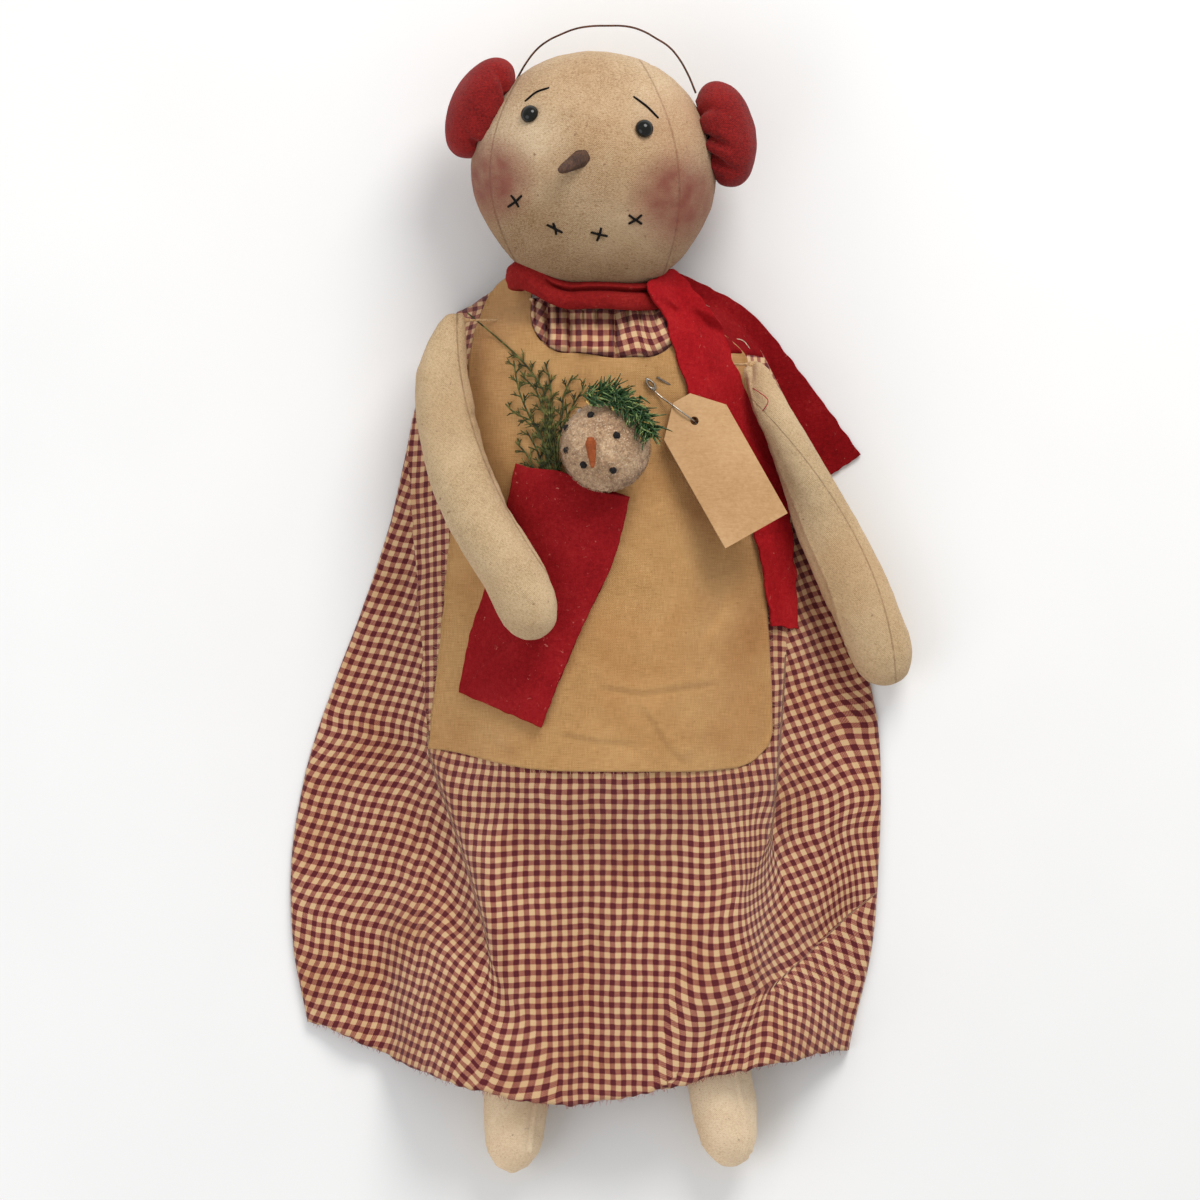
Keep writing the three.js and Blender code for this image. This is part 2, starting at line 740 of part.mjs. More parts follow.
function frontTailPoint(u, v) {
  const a = tailLeft.getPoint(v);
  const b = tailRight.getPoint(v);
  const x = lerp(a.x, b.x, u);
  const y = lerp(a.y, b.y, u);
  const wrapTop = neckCentreY - y < 16 ? wrapHeightZ + wrapHalfDepth * wrapArch(x) + 6 : 0;
  const under = Math.max(chestUpper(x - 5, y), chestUpper(x, y), chestUpper(x + 5, y));
  return vec(x, y, smoothMax(under, wrapTop, 4) + layerGap + feltThickness);
}

function wrapArch(x) {
  return Math.sqrt(Math.max(1 - ((x - neckCentreX) / (wrapHalfWidth + wrapFeltHalf)) ** 2, 0));
}

function frontTail(grow = 0) {
  return clothSheet({ across: 5, along: 18, upper: frontTailPoint, thickness: feltThickness, grow });
}

const backTailUpper = new THREE.SplineCurve([
  new THREE.Vector2(38, 180), new THREE.Vector2(60, 170), new THREE.Vector2(84, 155),
  new THREE.Vector2(111, 122), new THREE.Vector2(142, 79),
]);
const backTailLower = new THREE.SplineCurve([
  new THREE.Vector2(38, 164), new THREE.Vector2(64, 155), new THREE.Vector2(80, 134),
  new THREE.Vector2(98, 100), new THREE.Vector2(124, 67),
]);

function backTailPoint(u, v) {
  const a = backTailUpper.getPoint(v);
  const b = backTailLower.getPoint(v);
  const height = feltThickness + 0.5 + 28 * (1 - v) ** 3.6 + 2.5 * Math.sin(5 * v) * v * u;
  return vec(lerp(a.x, b.x, u), lerp(a.y, b.y, u), Math.max(height, feltThickness));
}

function backTail() {
  return clothSheet({ across: 4, along: 16, upper: backTailPoint, thickness: feltThickness });
}

// Arms: pinched at the shoulder, the left one lies across the front and the right one at the side. The upper
// arm is stuffed to a share of the full radius.
function armForm(centres, heights, upperShare, grow = 0) {
  const spine = centres.map(([x, y], i) => vec(x, y, heights[i]));
  const upper = upperShare * armRadius;
  const full = profile([
    [0, armPinchRadius], [0.14, 0.85 * upper], [0.32, upper], [0.55, armRadius], [1, armRadius],
  ]);
  const depth = profile([[0, 0.4 * armPinchRadius], [0.16, upper], [0.4, armRadius], [1, armRadius]]);
  return stuffed({
    spine,
    halfWidth: (t) => full(t) * roundEnds(t, 0.03, 0.1),
    halfDepth: (t) => depth(t) * roundEnds(t, 0.03, 0.1),
    rings: 16,
    sides: 14,
    grow,
  });
}

const knotRadius = 1.3 * stitchRadius;
const armTipDrop = knotRadius + touchGap;
const leftArmCentres = [
  [leftShoulder[0] - 0.3 * armTipDrop, leftShoulder[1] - armTipDrop], [-85, 130], [-84, 104], [-77, 72],
  [-66, 44], [-51, 18], [-35, -19],
];
const rightArmCentres = [
  [rightShoulder[0] + 0.45 * armTipDrop, rightShoulder[1] - armTipDrop], [93, 106], [106, 78], [123, 40],
  [140, 4], [160, -46],
];

function restingHeights(centres) {
  const radius = armRadius + layerGap;
  return centres.map(([x, y]) => restingHeight(tailOrChest, x, y, radius));
}

function leftArm() {
  const heights = restingHeights(leftArmCentres);
  const last = heights.length - 1;
  heights[0] = shoulderHeight;
  heights[1] = lerp(shoulderHeight, heights[2], 0.5) + 2;
  heights[last - 1] += 2;
  heights[last] = heights[last - 1] + 2;
  return armForm(leftArmCentres, heights, 0.96);
}

function rightArm() {
  const heights = restingHeights(rightArmCentres);
  heights[0] = shoulderHeight;
  heights[1] = lerp(shoulderHeight, heights[2], 0.4) + 8;
  heights[2] += 5;
  heights[3] += layerGap;
  heights[heights.length - 1] = armRadius + touchGap;
  return armForm(rightArmCentres, heights, 0.68);
}

// Thread that ties an arm to the side of the dress: a knot at the arm and a strand to the cloth
function shoulderStitch([x, y], side) {
  const needed = shoulderHeight - stitchRadius - 1.5 * layerGap;
  let clothX = x;
  while (tailOrChest(clothX, y) < needed && Math.abs(clothX) > 1) clothX -= side * 0.25;
  const end = clothX + side * touchGap;
  const points = [vec(end, y, shoulderHeight + 0.5), vec((x + end) / 2, y, shoulderHeight - 0.5)];
  const tie = wire([...points, vec(x, y, shoulderHeight)], stitchRadius, 6, 8);
  const knot = new THREE.SphereGeometry(knotRadius, 8, 6).translate(x, y, shoulderHeight);
  return joined([tie, knot]);
}

// Earmuffs: stuffed discs on the sides of the head, joined by a bent wire
const muffs = {
  left: { centre: [headCentreX - 0.477 * headWidth, headCentreY + 0.236 * headLength], outward: 155 },
  right: { centre: [headCentreX + 0.53 * headWidth, headCentreY + 0.126 * headLength], outward: 10 },
};

function muffForm({ centre, outward }, grow = 0) {
  const geometry = new THREE.SphereGeometry(1, 16, 12);
  geometry.scale(muffHalfThickness + grow, muffRadius + grow, muffHalfDepth + grow);
  geometry.rotateZ(outward * degree);
  return geometry.translate(...centre, headZ);
}

// The wire band from earmuff to earmuff, in shares of the head's width and length from its centre
const bandShares = [
  [-0.326, 0.354], [-0.235, 0.496], [-0.136, 0.559], [-0.038, 0.591], [0.053, 0.598],
  [0.144, 0.591], [0.25, 0.543], [0.341, 0.465], [0.417, 0.307],
];

function headband() {
  const points = bandShares.map(([across, along]) => (
    vec(headCentreX + across * headWidth, headCentreY + along * headLength, headZ + 1)
  ));
  const band = wire(points, bandWireRadius, 26, 5);
  return cutBy(band, [headForm(bandGap), muffForm(muffs.left, touchGap), muffForm(muffs.right, touchGap)]);
}

// Face
function bead(x, y) {
  const centre = onFace(x, y, beadRadius * 0.35);
  const ball = new THREE.SphereGeometry(beadRadius, 12, 8).translate(centre.x, centre.y, centre.z);
  return cutBy(ball, [headForm(touchGap)]);
}

function thread(places) {
  const points = places.map(([x, y]) => onFace(x, y, threadRadius + strokeGap));
  return wire(points, threadRadius, 4, 5);
}

function faceThread(strokes) {
  return cutBy(joined(strokes.map(thread)), [headForm(touchGap)]);
}

function crossStitch(x, y, turn) {
  const arm = (angle) => {
    const dx = (crossLength / 2) * Math.cos(angle * degree);
    const dy = (crossLength / 2) * Math.sin(angle * degree);
    return [[x - dx, y - dy], [x, y], [x + dx, y + dy]];
  };
  return faceThread([arm(turn), arm(turn + 90)]);
}

function noseForm() {
  const root = onFace(-9, 239, -2);
  const tip = root.clone().add(vec(-12, -5, 18).setLength(noseLength));
  const middle = root.clone().lerp(tip, 0.5).add(vec(1, 0.6, 0.4));
  const nose = stuffed({
    spine: [root, middle, tip],
    halfWidth: (t) => noseRadius * (1 - 0.55 * t) * roundEnds(t, 0.1, 0.18),
    halfDepth: (t) => noseRadius * (1 - 0.55 * t) * roundEnds(t, 0.1, 0.18),
    rings: 9,
    sides: 10,
  });
  return cutBy(nose, [headForm(touchGap)]);
}

// Snow-head ornament in the mouth of the pocket
const ballZ = restingHeight(apronUpper, ...ballCentre, ballHalfDepth) + touchGap;
const ballTurn = 45;

function ballForm(grow = 0) {
  const geometry = new THREE.SphereGeometry(1, 20, 14);
  geometry.scale(ballRadius + grow, ballRadius + grow, ballHalfDepth + grow);
  return geometry.translate(...ballCentre, ballZ);
}

function onBall(x, y, raise = 0) {
  const a = (x - ballCentre[0]) / ballRadius;
  const b = (y - ballCentre[1]) / ballRadius;
  const height = ballHalfDepth * Math.sqrt(Math.max(1 - a * a - b * b, 0));
  const normal = vec(a / ballRadius, b / ballRadius, height / ballHalfDepth ** 2).normalize();
  return vec(x, y, ballZ + height).addScaledVector(normal, raise);
}

function ballPiece() {
  return cutBy(ballForm(), [apronForm(touchGap), pocketBack(touchGap), pocketFront(touchGap)]);
}

const coalDots = [[-5, 100], [9, 89], [-18, 93], [-18, 81], [-9, 73], [7, 70]];

function dotForm(x, y, grow = 0) {
  const centre = onBall(x, y, 0.7);
  return new THREE.SphereGeometry(dotRadius + grow, 8, 6).translate(centre.x, centre.y, centre.z);
}

function ballNose() {
  const root = onBall(-3, 86, -1);
  const tip = onBall(-3.5, 72, 5);
  const nose = stuffed({
    spine: [root, root.clone().lerp(tip, 0.5), tip],
    halfWidth: (t) => 3.3 * (1 - 0.75 * t) * roundEnds(t, 0.12, 0.1),
    halfDepth: (t) => 3.3 * (1 - 0.75 * t) * roundEnds(t, 0.12, 0.1),
    rings: 7,
    sides: 8,
  });
  return cutBy(nose, [ballForm(touchGap)]);
}

// Pine crown: a half ring of tinsel needles round the top of the ornament
const crownArc = { from: 118, to: 14, radius: 22, needles: 13 };

function crownForm() {
  const { from, to, radius, needles } = crownArc;
  const place = (share, lift = 0) => {
    const angle = lerp(from, to, share) * degree;
    const x = ballCentre[0] + radius * Math.cos(angle);
    const y = ballCentre[1] + radius * Math.sin(angle);
    return vec(x, y, ballZ + ballHalfDepth * 0.62 + lift);
  };
  const core = wire([0, 0.25, 0.5, 0.75, 1].map((share) => place(share)), crownTubeRadius * 0.5, 12, 6);
  const parts = [core];
  for (let i = 0; i < needles; i += 1) {
    const share = (i + 0.5) / needles;
    const root = place(share);
    for (let k = 0; k < 3; k += 1) {
      const angle = lerp(from, to, share) * degree + (k - 1) * 0.9 + 0.5 * Math.sin(7 * i);
      const rise = [2.5, 6, 1][k] + 2 * Math.sin(3 * i + k);
      const out = k === 1 ? -5 : 8;
      const reach = vec(out * Math.cos(angle), out * Math.sin(angle), rise);
      parts.push(needle(root, root.clone().add(reach), 0.8));
    }
  }
  const dots = coalDots.map(([x, y]) => dotForm(x, y, touchGap));
  return cutBy(joined(parts), [ballForm(touchGap), apronForm(touchGap), ...dots]);
}

// Evergreen sprig: forked needles on stems that fan out of the pocket
const sprigRoot = [-24, 60];
const stemRadius = 0.9;
const sprigStems = [
  { tip: [-62, 148], bend: [-45, 108], forks: 5 },
  { tip: [-48, 128], bend: [-38, 98], forks: 4 },
  { tip: [-36, 116], bend: [-31, 92], forks: 3 },
  { tip: [-22, 106], bend: [-24, 88], forks: 2 },
];

function sprigForm() {
  const root = new THREE.Vector2(...sprigRoot);
  const base = new THREE.SphereGeometry(2 * stemRadius, 8, 6);
  const parts = [base.translate(root.x, root.y, sprigHeight(root.x, root.y))];
  for (const { tip, bend, forks } of sprigStems) {
    const plan = new THREE.QuadraticBezierCurve(root, new THREE.Vector2(...bend), new THREE.Vector2(...tip));
    const path = plan.getPoints(6).map((spot) => vec(spot.x, spot.y, sprigHeight(spot.x, spot.y)));
    parts.push(wire(path, stemRadius, 8, 4));
    const curve = new THREE.CatmullRomCurve3(path, false, 'centripetal');
    for (let i = 0; i < forks; i += 1) {
      const t = 0.4 + (0.6 * i) / forks;
      const fork = curve.getPointAt(t);
      const along = curve.getTangentAt(t);
      for (const side of [-1, 1]) {
        const out = vec(along.y * side, -along.x * side, 0).multiplyScalar(0.55).add(along);
        const end = fork.clone().addScaledVector(out.normalize(), 13 - 6 * t);
        parts.push(needle(fork, end.add(vec(0, 0, 1.5 * side)), 0.85));
      }
    }
  }
  const cuts = [ballForm(touchGap), apronForm(touchGap), pocketBack(touchGap), pocketFront(touchGap)];
  return cutBy(joined(parts), cuts);
}

// Stems lie a little above the pocket's back and above the apron
function sprigHeight(x, y) {
  const onPocket = clamp((76 - y) / 6, 0, 1) * (layerGap + feltThickness);
  return apronUpper(x, y) + onPocket + 2.4;
}

// Kraft tag threaded on the pin, sloping down to the viewer's right
function tagShape() {
  const half = tagWidth / 2;
  const start = -tagHoleInset;
  const shape = new THREE.Shape();
  shape.moveTo(start, -half + tagCorner);
  shape.lineTo(start + tagCorner, -half);
  shape.lineTo(start + tagLength, -half);
  shape.lineTo(start + tagLength, half);
  shape.lineTo(start + tagCorner, half);
  shape.lineTo(start, half - tagCorner);
  shape.closePath();
  const hole = new THREE.Path();
  hole.absarc(0, 0, tagHoleRadius, 0, 2 * Math.PI, true);
  shape.holes.push(hole);
  return shape;
}

const tagPlane = new THREE.Matrix4().makeRotationZ(tagTurn * degree);
tagPlane.multiply(new THREE.Matrix4().makeRotationX(-tagSlope * degree));

// Height of the tag's lower face under which everything on the chest fits
function tagLift() {
  let lift = 0;
  for (let i = 0; i <= 12; i += 1) {
    for (let j = 0; j <= 6; j += 1) {
      const along = lerp(-tagHoleInset, tagLength - tagHoleInset, i / 12);
      const spot = vec(along, lerp(-0.5, 0.5, j / 6) * tagWidth, 0).applyMatrix4(tagPlane);
      lift = Math.max(lift, tailOrChest(spot.x + tagHole[0], spot.y + tagHole[1]) - spot.z);
    }
  }
  return lift + 2 * touchGap;
}

function tailOrChest(x, y) {
  const v = clamp((168 - y) / 184, 0, 1);
  const a = tailLeft.getPoint(v);
  const b = tailRight.getPoint(v);
  const inTail = x > a.x - 8 && x < b.x + 4;
  return chestUpper(x, y) + (inTail ? tailLift + feltThickness : 0);
}

const tagZ = tagLift();

function tagForm() {
  const sheet = { depth: tagThickness, bevelEnabled: false, curveSegments: 10 };
  const geometry = new THREE.ExtrudeGeometry(tagShape(), sheet);
  return geometry.applyMatrix4(tagPlane).translate(...tagHole, tagZ);
}

// Safety pin: one wire with a coil at the far end, its point held in a pressed cap. Its back arm runs from
// the cap over the corner of the tag and down through the hole; its needle goes under the apron's cloth.
function pinPoint(along, aside, height) {
  return vec(...pinSpot(along, aside), height);
}

function onApron(along, aside, lift) {
  const [x, y] = pinSpot(along, aside);
  return vec(x, y, apronUpper(x, y) + lift);
}

function underApron(along, aside) {
  const [x, y] = pinSpot(along, aside);
  const room = apronUpper(x, y) - apronThickness - dressUpper(x, y);
  return vec(x, y, dressUpper(x, y) + room / 2);
}

function pinWire() {
  const ride = pinWireRadius + touchGap;
  const onTag = (along, lift) => {
    const [x, y] = pinSpot(along, -pinHalf);
    const local = vec(x - tagHole[0], y - tagHole[1], 0);
    const normal = vec(0, 0, 1).transformDirection(tagPlane);
    const plane = tagZ - (normal.x * local.x + normal.y * local.y) / normal.z;
    return vec(x, y, plane + lift);
  };
  const above = tagThickness + 2.2 * ride;
  const coilZ = onTag(pinReach, 0).z - 2.6 * ride;
  const coilAlong = pinReach + pinCoilRadius + 1;
  const points = [onApron(2.5, -pinHalf + 1, capLift), onApron(10, -pinHalf, capLift + 0.6)];
  points.push(onTag(pinReach - 12, above), onTag(pinReach - 3.5, above));
  points.push(onTag(pinReach - 0.6, above * 0.6), onTag(pinReach + 0.4, -ride * 0.6));
  const turns = 1.5;
  const steps = 12;
  for (let i = 0; i <= steps; i += 1) {
    const angle = -Math.PI / 2 + (i / steps) * turns * 2 * Math.PI;
    const aside = -pinHalf + pinCoilRadius * (1 + Math.sin(angle));
    const lift = -2.4 * pinWireRadius * (i / steps);
    points.push(pinPoint(coilAlong + pinCoilRadius * Math.cos(angle), aside, coilZ - 0.6 * ride + lift));
  }
  points.push(onApron(coilAlong - 6, pinHalf - 2.5, ride));
  points.push(underApron(coilAlong - 11, pinHalf - 0.8), underApron(pinBump.reach, pinHalf));
  points.push(underApron(15, pinHalf), onApron(9.5, pinHalf - 0.4, ride + 0.2));
  points.push(onApron(2.5, pinHalf - 1, capLift));
  return points;
}

function pinCapForm() {
  const shape = new THREE.Shape();
  shape.moveTo(6, pinHalf);
  shape.lineTo(0, pinHalf * 0.9);
  shape.quadraticCurveTo(-3.5, 0, 0, -pinHalf * 0.9);
  shape.lineTo(6, -pinHalf);
  shape.quadraticCurveTo(7.5, -pinHalf * 0.7, 5.5, -pinHalf * 0.5);
  shape.quadraticCurveTo(3, 0, 5.5, pinHalf * 0.5);
  shape.quadraticCurveTo(7.5, pinHalf * 0.7, 6, pinHalf);
  const pressing = { depth: capDepth, bevelEnabled: false, curveSegments: 5 };
  const geometry = new THREE.ExtrudeGeometry(shape, pressing).translate(0, 0, -capDepth / 2);
  geometry.rotateZ(pinAngle * degree);
  return geometry.translate(...pinStart, onApron(3, 0, capLift).z);
}

// Finishes
const finishes = {
  muslin: [0xbe9b73, 0.95, 0],
  paleMuslin: [0xcdb996, 0.95, 0],
  check: [0x8a4a4a, 0.95, 0],
  apronCotton: [0xc8a269, 0.95, 0],
  scarfFelt: [0xa51923, 0.97, 0],
  pocketFelt: [0x961423, 0.97, 0],
  muffCotton: [0xa02323, 0.95, 0],
  bandWire: [0x4a2f22, 0.6, 0.7],
  bead: [0x08080a, 0.12, 0],
  thread: [0x151212, 0.8, 0],
  twig: [0x644132, 0.8, 0],
  snow: [0xc3aa96, 1, 0],
  orange: [0xaa5a37, 0.8, 0],
  tinsel: [0x325f3c, 0.6, 0],
  evergreen: [0x3c5028, 0.7, 0],
  steel: [0xb4b0aa, 0.35, 1],
  kraft: [0xd4aa73, 0.9, 0],
  stitch: [0xe0d6c4, 0.9, 0],
};

const doll = new THREE.Group();

function addPiece(name, geometry, finish) {
  const [color, roughness, metalness] = finishes[finish];
  const plain = geometry.clone();
  plain.deleteAttribute('uv');
  const mesh = new THREE.Mesh(plain, new THREE.MeshStandardMaterial({ color, roughness, metalness }));
  mesh.name = name;
  doll.add(mesh);
}

const leftLeg = legForm(leftSole, -1);
const rightLeg = legForm(rightSole, 1);
const wrap = cutBy(wrapForm(), [...headSweep(touchGap), torsoForm(touchGap), neckBall(touchGap)]);
const wrapRoom = wrapForm(touchGap);
const pinPoints = pinWire();
const pin = wire(pinPoints, pinWireRadius, 52, 6);
const pinRoom = wire(pinPoints, pinWireRadius + touchGap, 52, 6);
const apron = cutBy(apronForm(), [scoopCutter(), wrapRoom, pinRoom]);
const tail = cutBy(frontTail(), [...headSweep(touchGap), wrapRoom, pinRoom]);
const dressRoom = [bodiceFront(1.2), bodiceBack(touchGap), apronForm(1.5), torsoForm(touchGap)];
const rearTail = cutBy(backTail(), [wrapRoom, frontTail(touchGap), ...dressRoom]);
const tagPiece = tagForm();
const leftArmPiece = leftArm();
const rightArmPiece = rightArm();
const leftStitch = shoulderStitch(leftShoulder, -1);
const rightStitch = shoulderStitch(rightShoulder, 1);

addPiece('head', headPiece(), 'muslin');
addPiece('neck', cutBy(neckBall(), []), 'muslin');
addPiece('torso', torsoPiece(), 'muslin');
addPiece('left_arm', leftArmPiece, 'paleMuslin');
addPiece('right_arm', rightArmPiece, 'paleMuslin');
addPiece('left_shoulder_stitch', leftStitch, 'stitch');
addPiece('right_shoulder_stitch', rightStitch, 'stitch');
addPiece('left_leg', leftLeg, 'paleMuslin');
addPiece('right_leg', rightLeg, 'paleMuslin');
addPiece('left_eye', bead(-38, 264), 'bead');
addPiece('right_eye', bead(24, 256), 'bead');
addPiece('nose', noseForm(), 'twig');
addPiece('left_brow', faceThread([[[-40, 272], [-35, 277], [-28, 278]]]), 'thread');
addPiece('right_brow', faceThread([[[18, 273], [25, 269], [31, 262]]]), 'thread');
addPiece('mouth_stitch_1', crossStitch(-46, 217, 30), 'thread');
addPiece('mouth_stitch_2', crossStitch(-24, 202, 40), 'thread');
addPiece('mouth_stitch_3', crossStitch(0, 199, 50), 'thread');
addPiece('mouth_stitch_4', crossStitch(19, 207, 50), 'thread');
addPiece('left_earmuff', cutBy(muffForm(muffs.left), [headForm(touchGap)]), 'muffCotton');
addPiece('right_earmuff', cutBy(muffForm(muffs.right), [headForm(touchGap)]), 'muffCotton');
addPiece('headband_wire', headband(), 'bandWire');
addPiece('scarf_wrap', wrap, 'scarfFelt');
addPiece('scarf_front_tail', tail, 'scarfFelt');
addPiece('scarf_back_tail', rearTail, 'scarfFelt');
addPiece('bodice_front', cutBy(bodiceFront(), [wrapRoom, neckBall(touchGap)]), 'check');
addPiece('bodice_back', bodiceBack(), 'check');
addPiece('skirt_front', skirtFront(), 'check');
addPiece('skirt_back', skirtBack(), 'check');
addPiece('neck_ruffle', cutBy(neckRuffle(), [wrapRoom, neckBall(touchGap), frontTail(touchGap)]), 'check');
addPiece('apron', apron, 'apronCotton');
addPiece('pocket_back', pocketBack(), 'pocketFelt');
addPiece('pocket_front', pocketFront(), 'pocketFelt');
addPiece('sprig', sprigForm(), 'evergreen');
addPiece('snow_ball', ballPiece(), 'snow');
addPiece('snow_ball_nose', ballNose(), 'orange');
coalDots.forEach(([x, y], i) => {
  addPiece(`coal_dot_${i + 1}`, cutBy(dotForm(x, y), [ballForm(touchGap)]), 'bead');
});
addPiece('pine_crown', crownForm(), 'tinsel');
addPiece('pin_wire', cutBy(pin, []), 'steel');
addPiece('pin_cap', cutBy(pinCapForm(), [pinRoom, apronForm(touchGap)]), 'steel');
addPiece('tag', cutBy(tagPiece, [pinRoom]), 'kraft');

export default doll;
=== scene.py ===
import math

import bpy
import numpy as np
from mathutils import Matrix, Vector
from mathutils.bvhtree import BVHTree


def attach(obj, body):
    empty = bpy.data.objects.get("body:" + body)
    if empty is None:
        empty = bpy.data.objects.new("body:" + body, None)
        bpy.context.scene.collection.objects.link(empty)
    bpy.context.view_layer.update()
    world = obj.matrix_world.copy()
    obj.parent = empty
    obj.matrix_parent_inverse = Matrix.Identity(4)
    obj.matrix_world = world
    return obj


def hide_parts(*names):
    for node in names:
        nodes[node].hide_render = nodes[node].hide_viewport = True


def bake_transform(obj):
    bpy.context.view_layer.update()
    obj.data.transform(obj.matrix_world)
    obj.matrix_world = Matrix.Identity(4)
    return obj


# Primitive cloth doll lying on its back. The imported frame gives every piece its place, in metres.
# The values beside each piece are in millimetres and degrees.
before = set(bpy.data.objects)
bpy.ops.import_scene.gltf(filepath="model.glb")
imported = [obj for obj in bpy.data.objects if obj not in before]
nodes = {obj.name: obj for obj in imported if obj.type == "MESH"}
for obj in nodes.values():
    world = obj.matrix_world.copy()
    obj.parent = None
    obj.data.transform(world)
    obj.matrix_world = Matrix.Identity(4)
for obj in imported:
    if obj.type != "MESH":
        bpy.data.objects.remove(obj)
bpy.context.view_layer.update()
mm = 0.001
fullTurn = 2 * math.pi


def pick(*objects):
    if bpy.context.mode != "OBJECT":
        bpy.ops.object.mode_set(mode="OBJECT")
    bpy.ops.object.select_all(action="DESELECT")
    for each in objects:
        each.select_set(True)
        bpy.context.view_layer.objects.active = objects[0]


def added(name, data):
    piece = bpy.data.objects.new(name, data)
    bpy.context.collection.objects.link(piece)
    return piece


def finished(piece, angle=None):
    # an object's place and turn go into its mesh, which is then shaded smooth
    pick(piece)
    bpy.ops.object.transform_apply(location=True, rotation=True, scale=True)
    if angle is None:
        bpy.ops.object.shade_smooth()
    else:
        bpy.ops.object.shade_smooth_by_angle(angle=math.radians(angle))
    return piece


def edited(piece, tool, **settings):
    # a tool of edit mode, used on the whole mesh
    pick(piece)
    bpy.ops.object.mode_set(mode="EDIT")
    bpy.ops.mesh.select_all(action="SELECT")
    tool(**settings)
    bpy.ops.object.mode_set(mode="OBJECT")


def modified(piece, kind, **settings):
    modifier = piece.modifiers.new(kind.lower(), kind)
    for key, value in settings.items():
        setattr(modifier, key, value)
    pick(piece)
    bpy.ops.object.modifier_apply(modifier=modifier.name)


def read(piece, key="co", unit=mm):
    # the points of a mesh in millimetres, or its normals with a unit of 1
    flat = np.empty(len(piece.data.vertices) * 3)
    piece.data.vertices.foreach_get(key, flat)
    return flat.reshape(-1, 3) / unit


def moveTo(piece, points):
    piece.data.vertices.foreach_set("co", (points * mm).ravel())
    piece.data.update()


def place(piece, body, finish, slotName, *replaced, bend=None):
    # bend names a second body and two points for a bend over to it; only whether it is given is read, and such a piece
    # keeps its place and is attached to no body
    piece.data.materials.clear()
    piece.data.materials.append(finish)
    if bend:
        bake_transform(piece)
    else:
        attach(piece, body)
    if replaced:
        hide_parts(*replaced)
    return piece


# curves and fields, in millimetres
def smoothStep(low, high, value):
    t = np.clip((value - low) / (high - low), 0, 1)
    return t * t * (3 - 2 * t)


def bell(value, width):
    return np.exp(-(value / width) ** 2)


def profile(stations):
    # a smooth curve through (key, value) stations
    keys, values = np.array(sorted(stations), float).T
    last = len(keys) - 1

    def at(position):
        x = np.clip(np.asarray(position, float), keys[0], keys[-1])
        i = np.clip(np.searchsorted(keys, x, side="right") - 1, 0, last - 1)
        t = (x - keys[i]) / (keys[i + 1] - keys[i])
        slopeIn = (values[i + 1] - values[np.clip(i - 1, 0, last)]) / 2
        slopeOut = (values[np.clip(i + 2, 0, last)] - values[i]) / 2
        rise = values[i + 1] - values[i]
        bent = 3 * rise - 2 * slopeIn - slopeOut + t * (slopeIn + slopeOut - 2 * rise)
        return values[i] + t * (slopeIn + t * bent)

    return at


def runningSum(steps, axis=0):
    return np.insert(np.cumsum(steps, axis=axis), 0, 0, axis=axis)


def throughPoints(points, count=None):
    # a smooth line through points, as a function of the share of its length or as a count of points
    points = np.array(points, float)
    shares = runningSum(np.linalg.norm(np.diff(points, axis=0), axis=1))
    curves = [profile(list(zip(shares / shares[-1], column))) for column in points.T]

    def at(share):
        return np.stack([curve(share) for curve in curves], axis=-1)

    return at if count is None else at(np.linspace(0, 1, count))


def ripples(x, y, wavelength, count, seed):
    # a sum of soft waves, about -1.5 to 1.5
    dice = np.random.default_rng(seed)
    total = 0
    for _ in range(count):
        angle = dice.uniform(0, math.pi)
        length = wavelength * dice.uniform(0.7, 1.6)
        wave = fullTurn * (x * math.cos(angle) + y * math.sin(angle)) / length
        total = total + np.sin(wave + dice.uniform(0, fullTurn))
    return total / math.sqrt(count)


def ripples3(points, wavelength, count, seed):
    dice = np.random.default_rng(seed)
    total = 0
    for _ in range(count):
        direction = dice.normal(size=3)
        direction /= np.linalg.norm(direction)
        length = wavelength * dice.uniform(0.7, 1.6)
        total = total + np.sin(fullTurn * points @ direction / length + dice.uniform(0, fullTurn))
    return total / math.sqrt(count)


def besideLine(x, y, line):
    # signed distance to a line of points, positive on its left, and the share of the line passed
    line = np.array(line, float)
    lengths = np.linalg.norm(np.diff(line, axis=0), axis=1)
    starts = runningSum(lengths)
    best, signed, share = np.full(np.shape(x), 1e9), np.zeros(np.shape(x)), np.zeros(np.shape(x))
    for start, stop, length, passed in zip(line[:-1], line[1:], lengths, starts):
        direction = (stop - start) / length
        dx, dy = x - start[0], y - start[1]
        along = np.clip(dx * direction[0] + dy * direction[1], 0, length)
        gap = np.hypot(dx - along * direction[0], dy - along * direction[1])
        side = np.sign(direction[0] * dy - direction[1] * dx)
        closer = gap < best
        best = np.where(closer, gap, best)
        signed = np.where(closer, side * gap, signed)
        share = np.where(closer, (passed + along) / starts[-1], share)
    return signed, share


def crease(x, y, line, depth, width, lip, reach, fadeStart, fadeEnd, dip=0.0):
    # a groove along a line, with a lip that stands on its left side and a dip on its right
    signed, share = besideLine(x, y, line)
    fade = smoothStep(0, fadeStart, share) * (1 - smoothStep(fadeEnd, 1, share))
    ledge, sunk = (height * smoothStep(-0.6 * width, 0.9 * width, side) * np.exp(-np.maximum(side, 0) / reach)
                   for height, side in ((lip, signed), (dip, -signed)))
    return fade * (ledge - depth * bell(signed, width) - sunk)


def creases(x, y, rows):
    return sum(crease(x, y, *row) for row in rows)


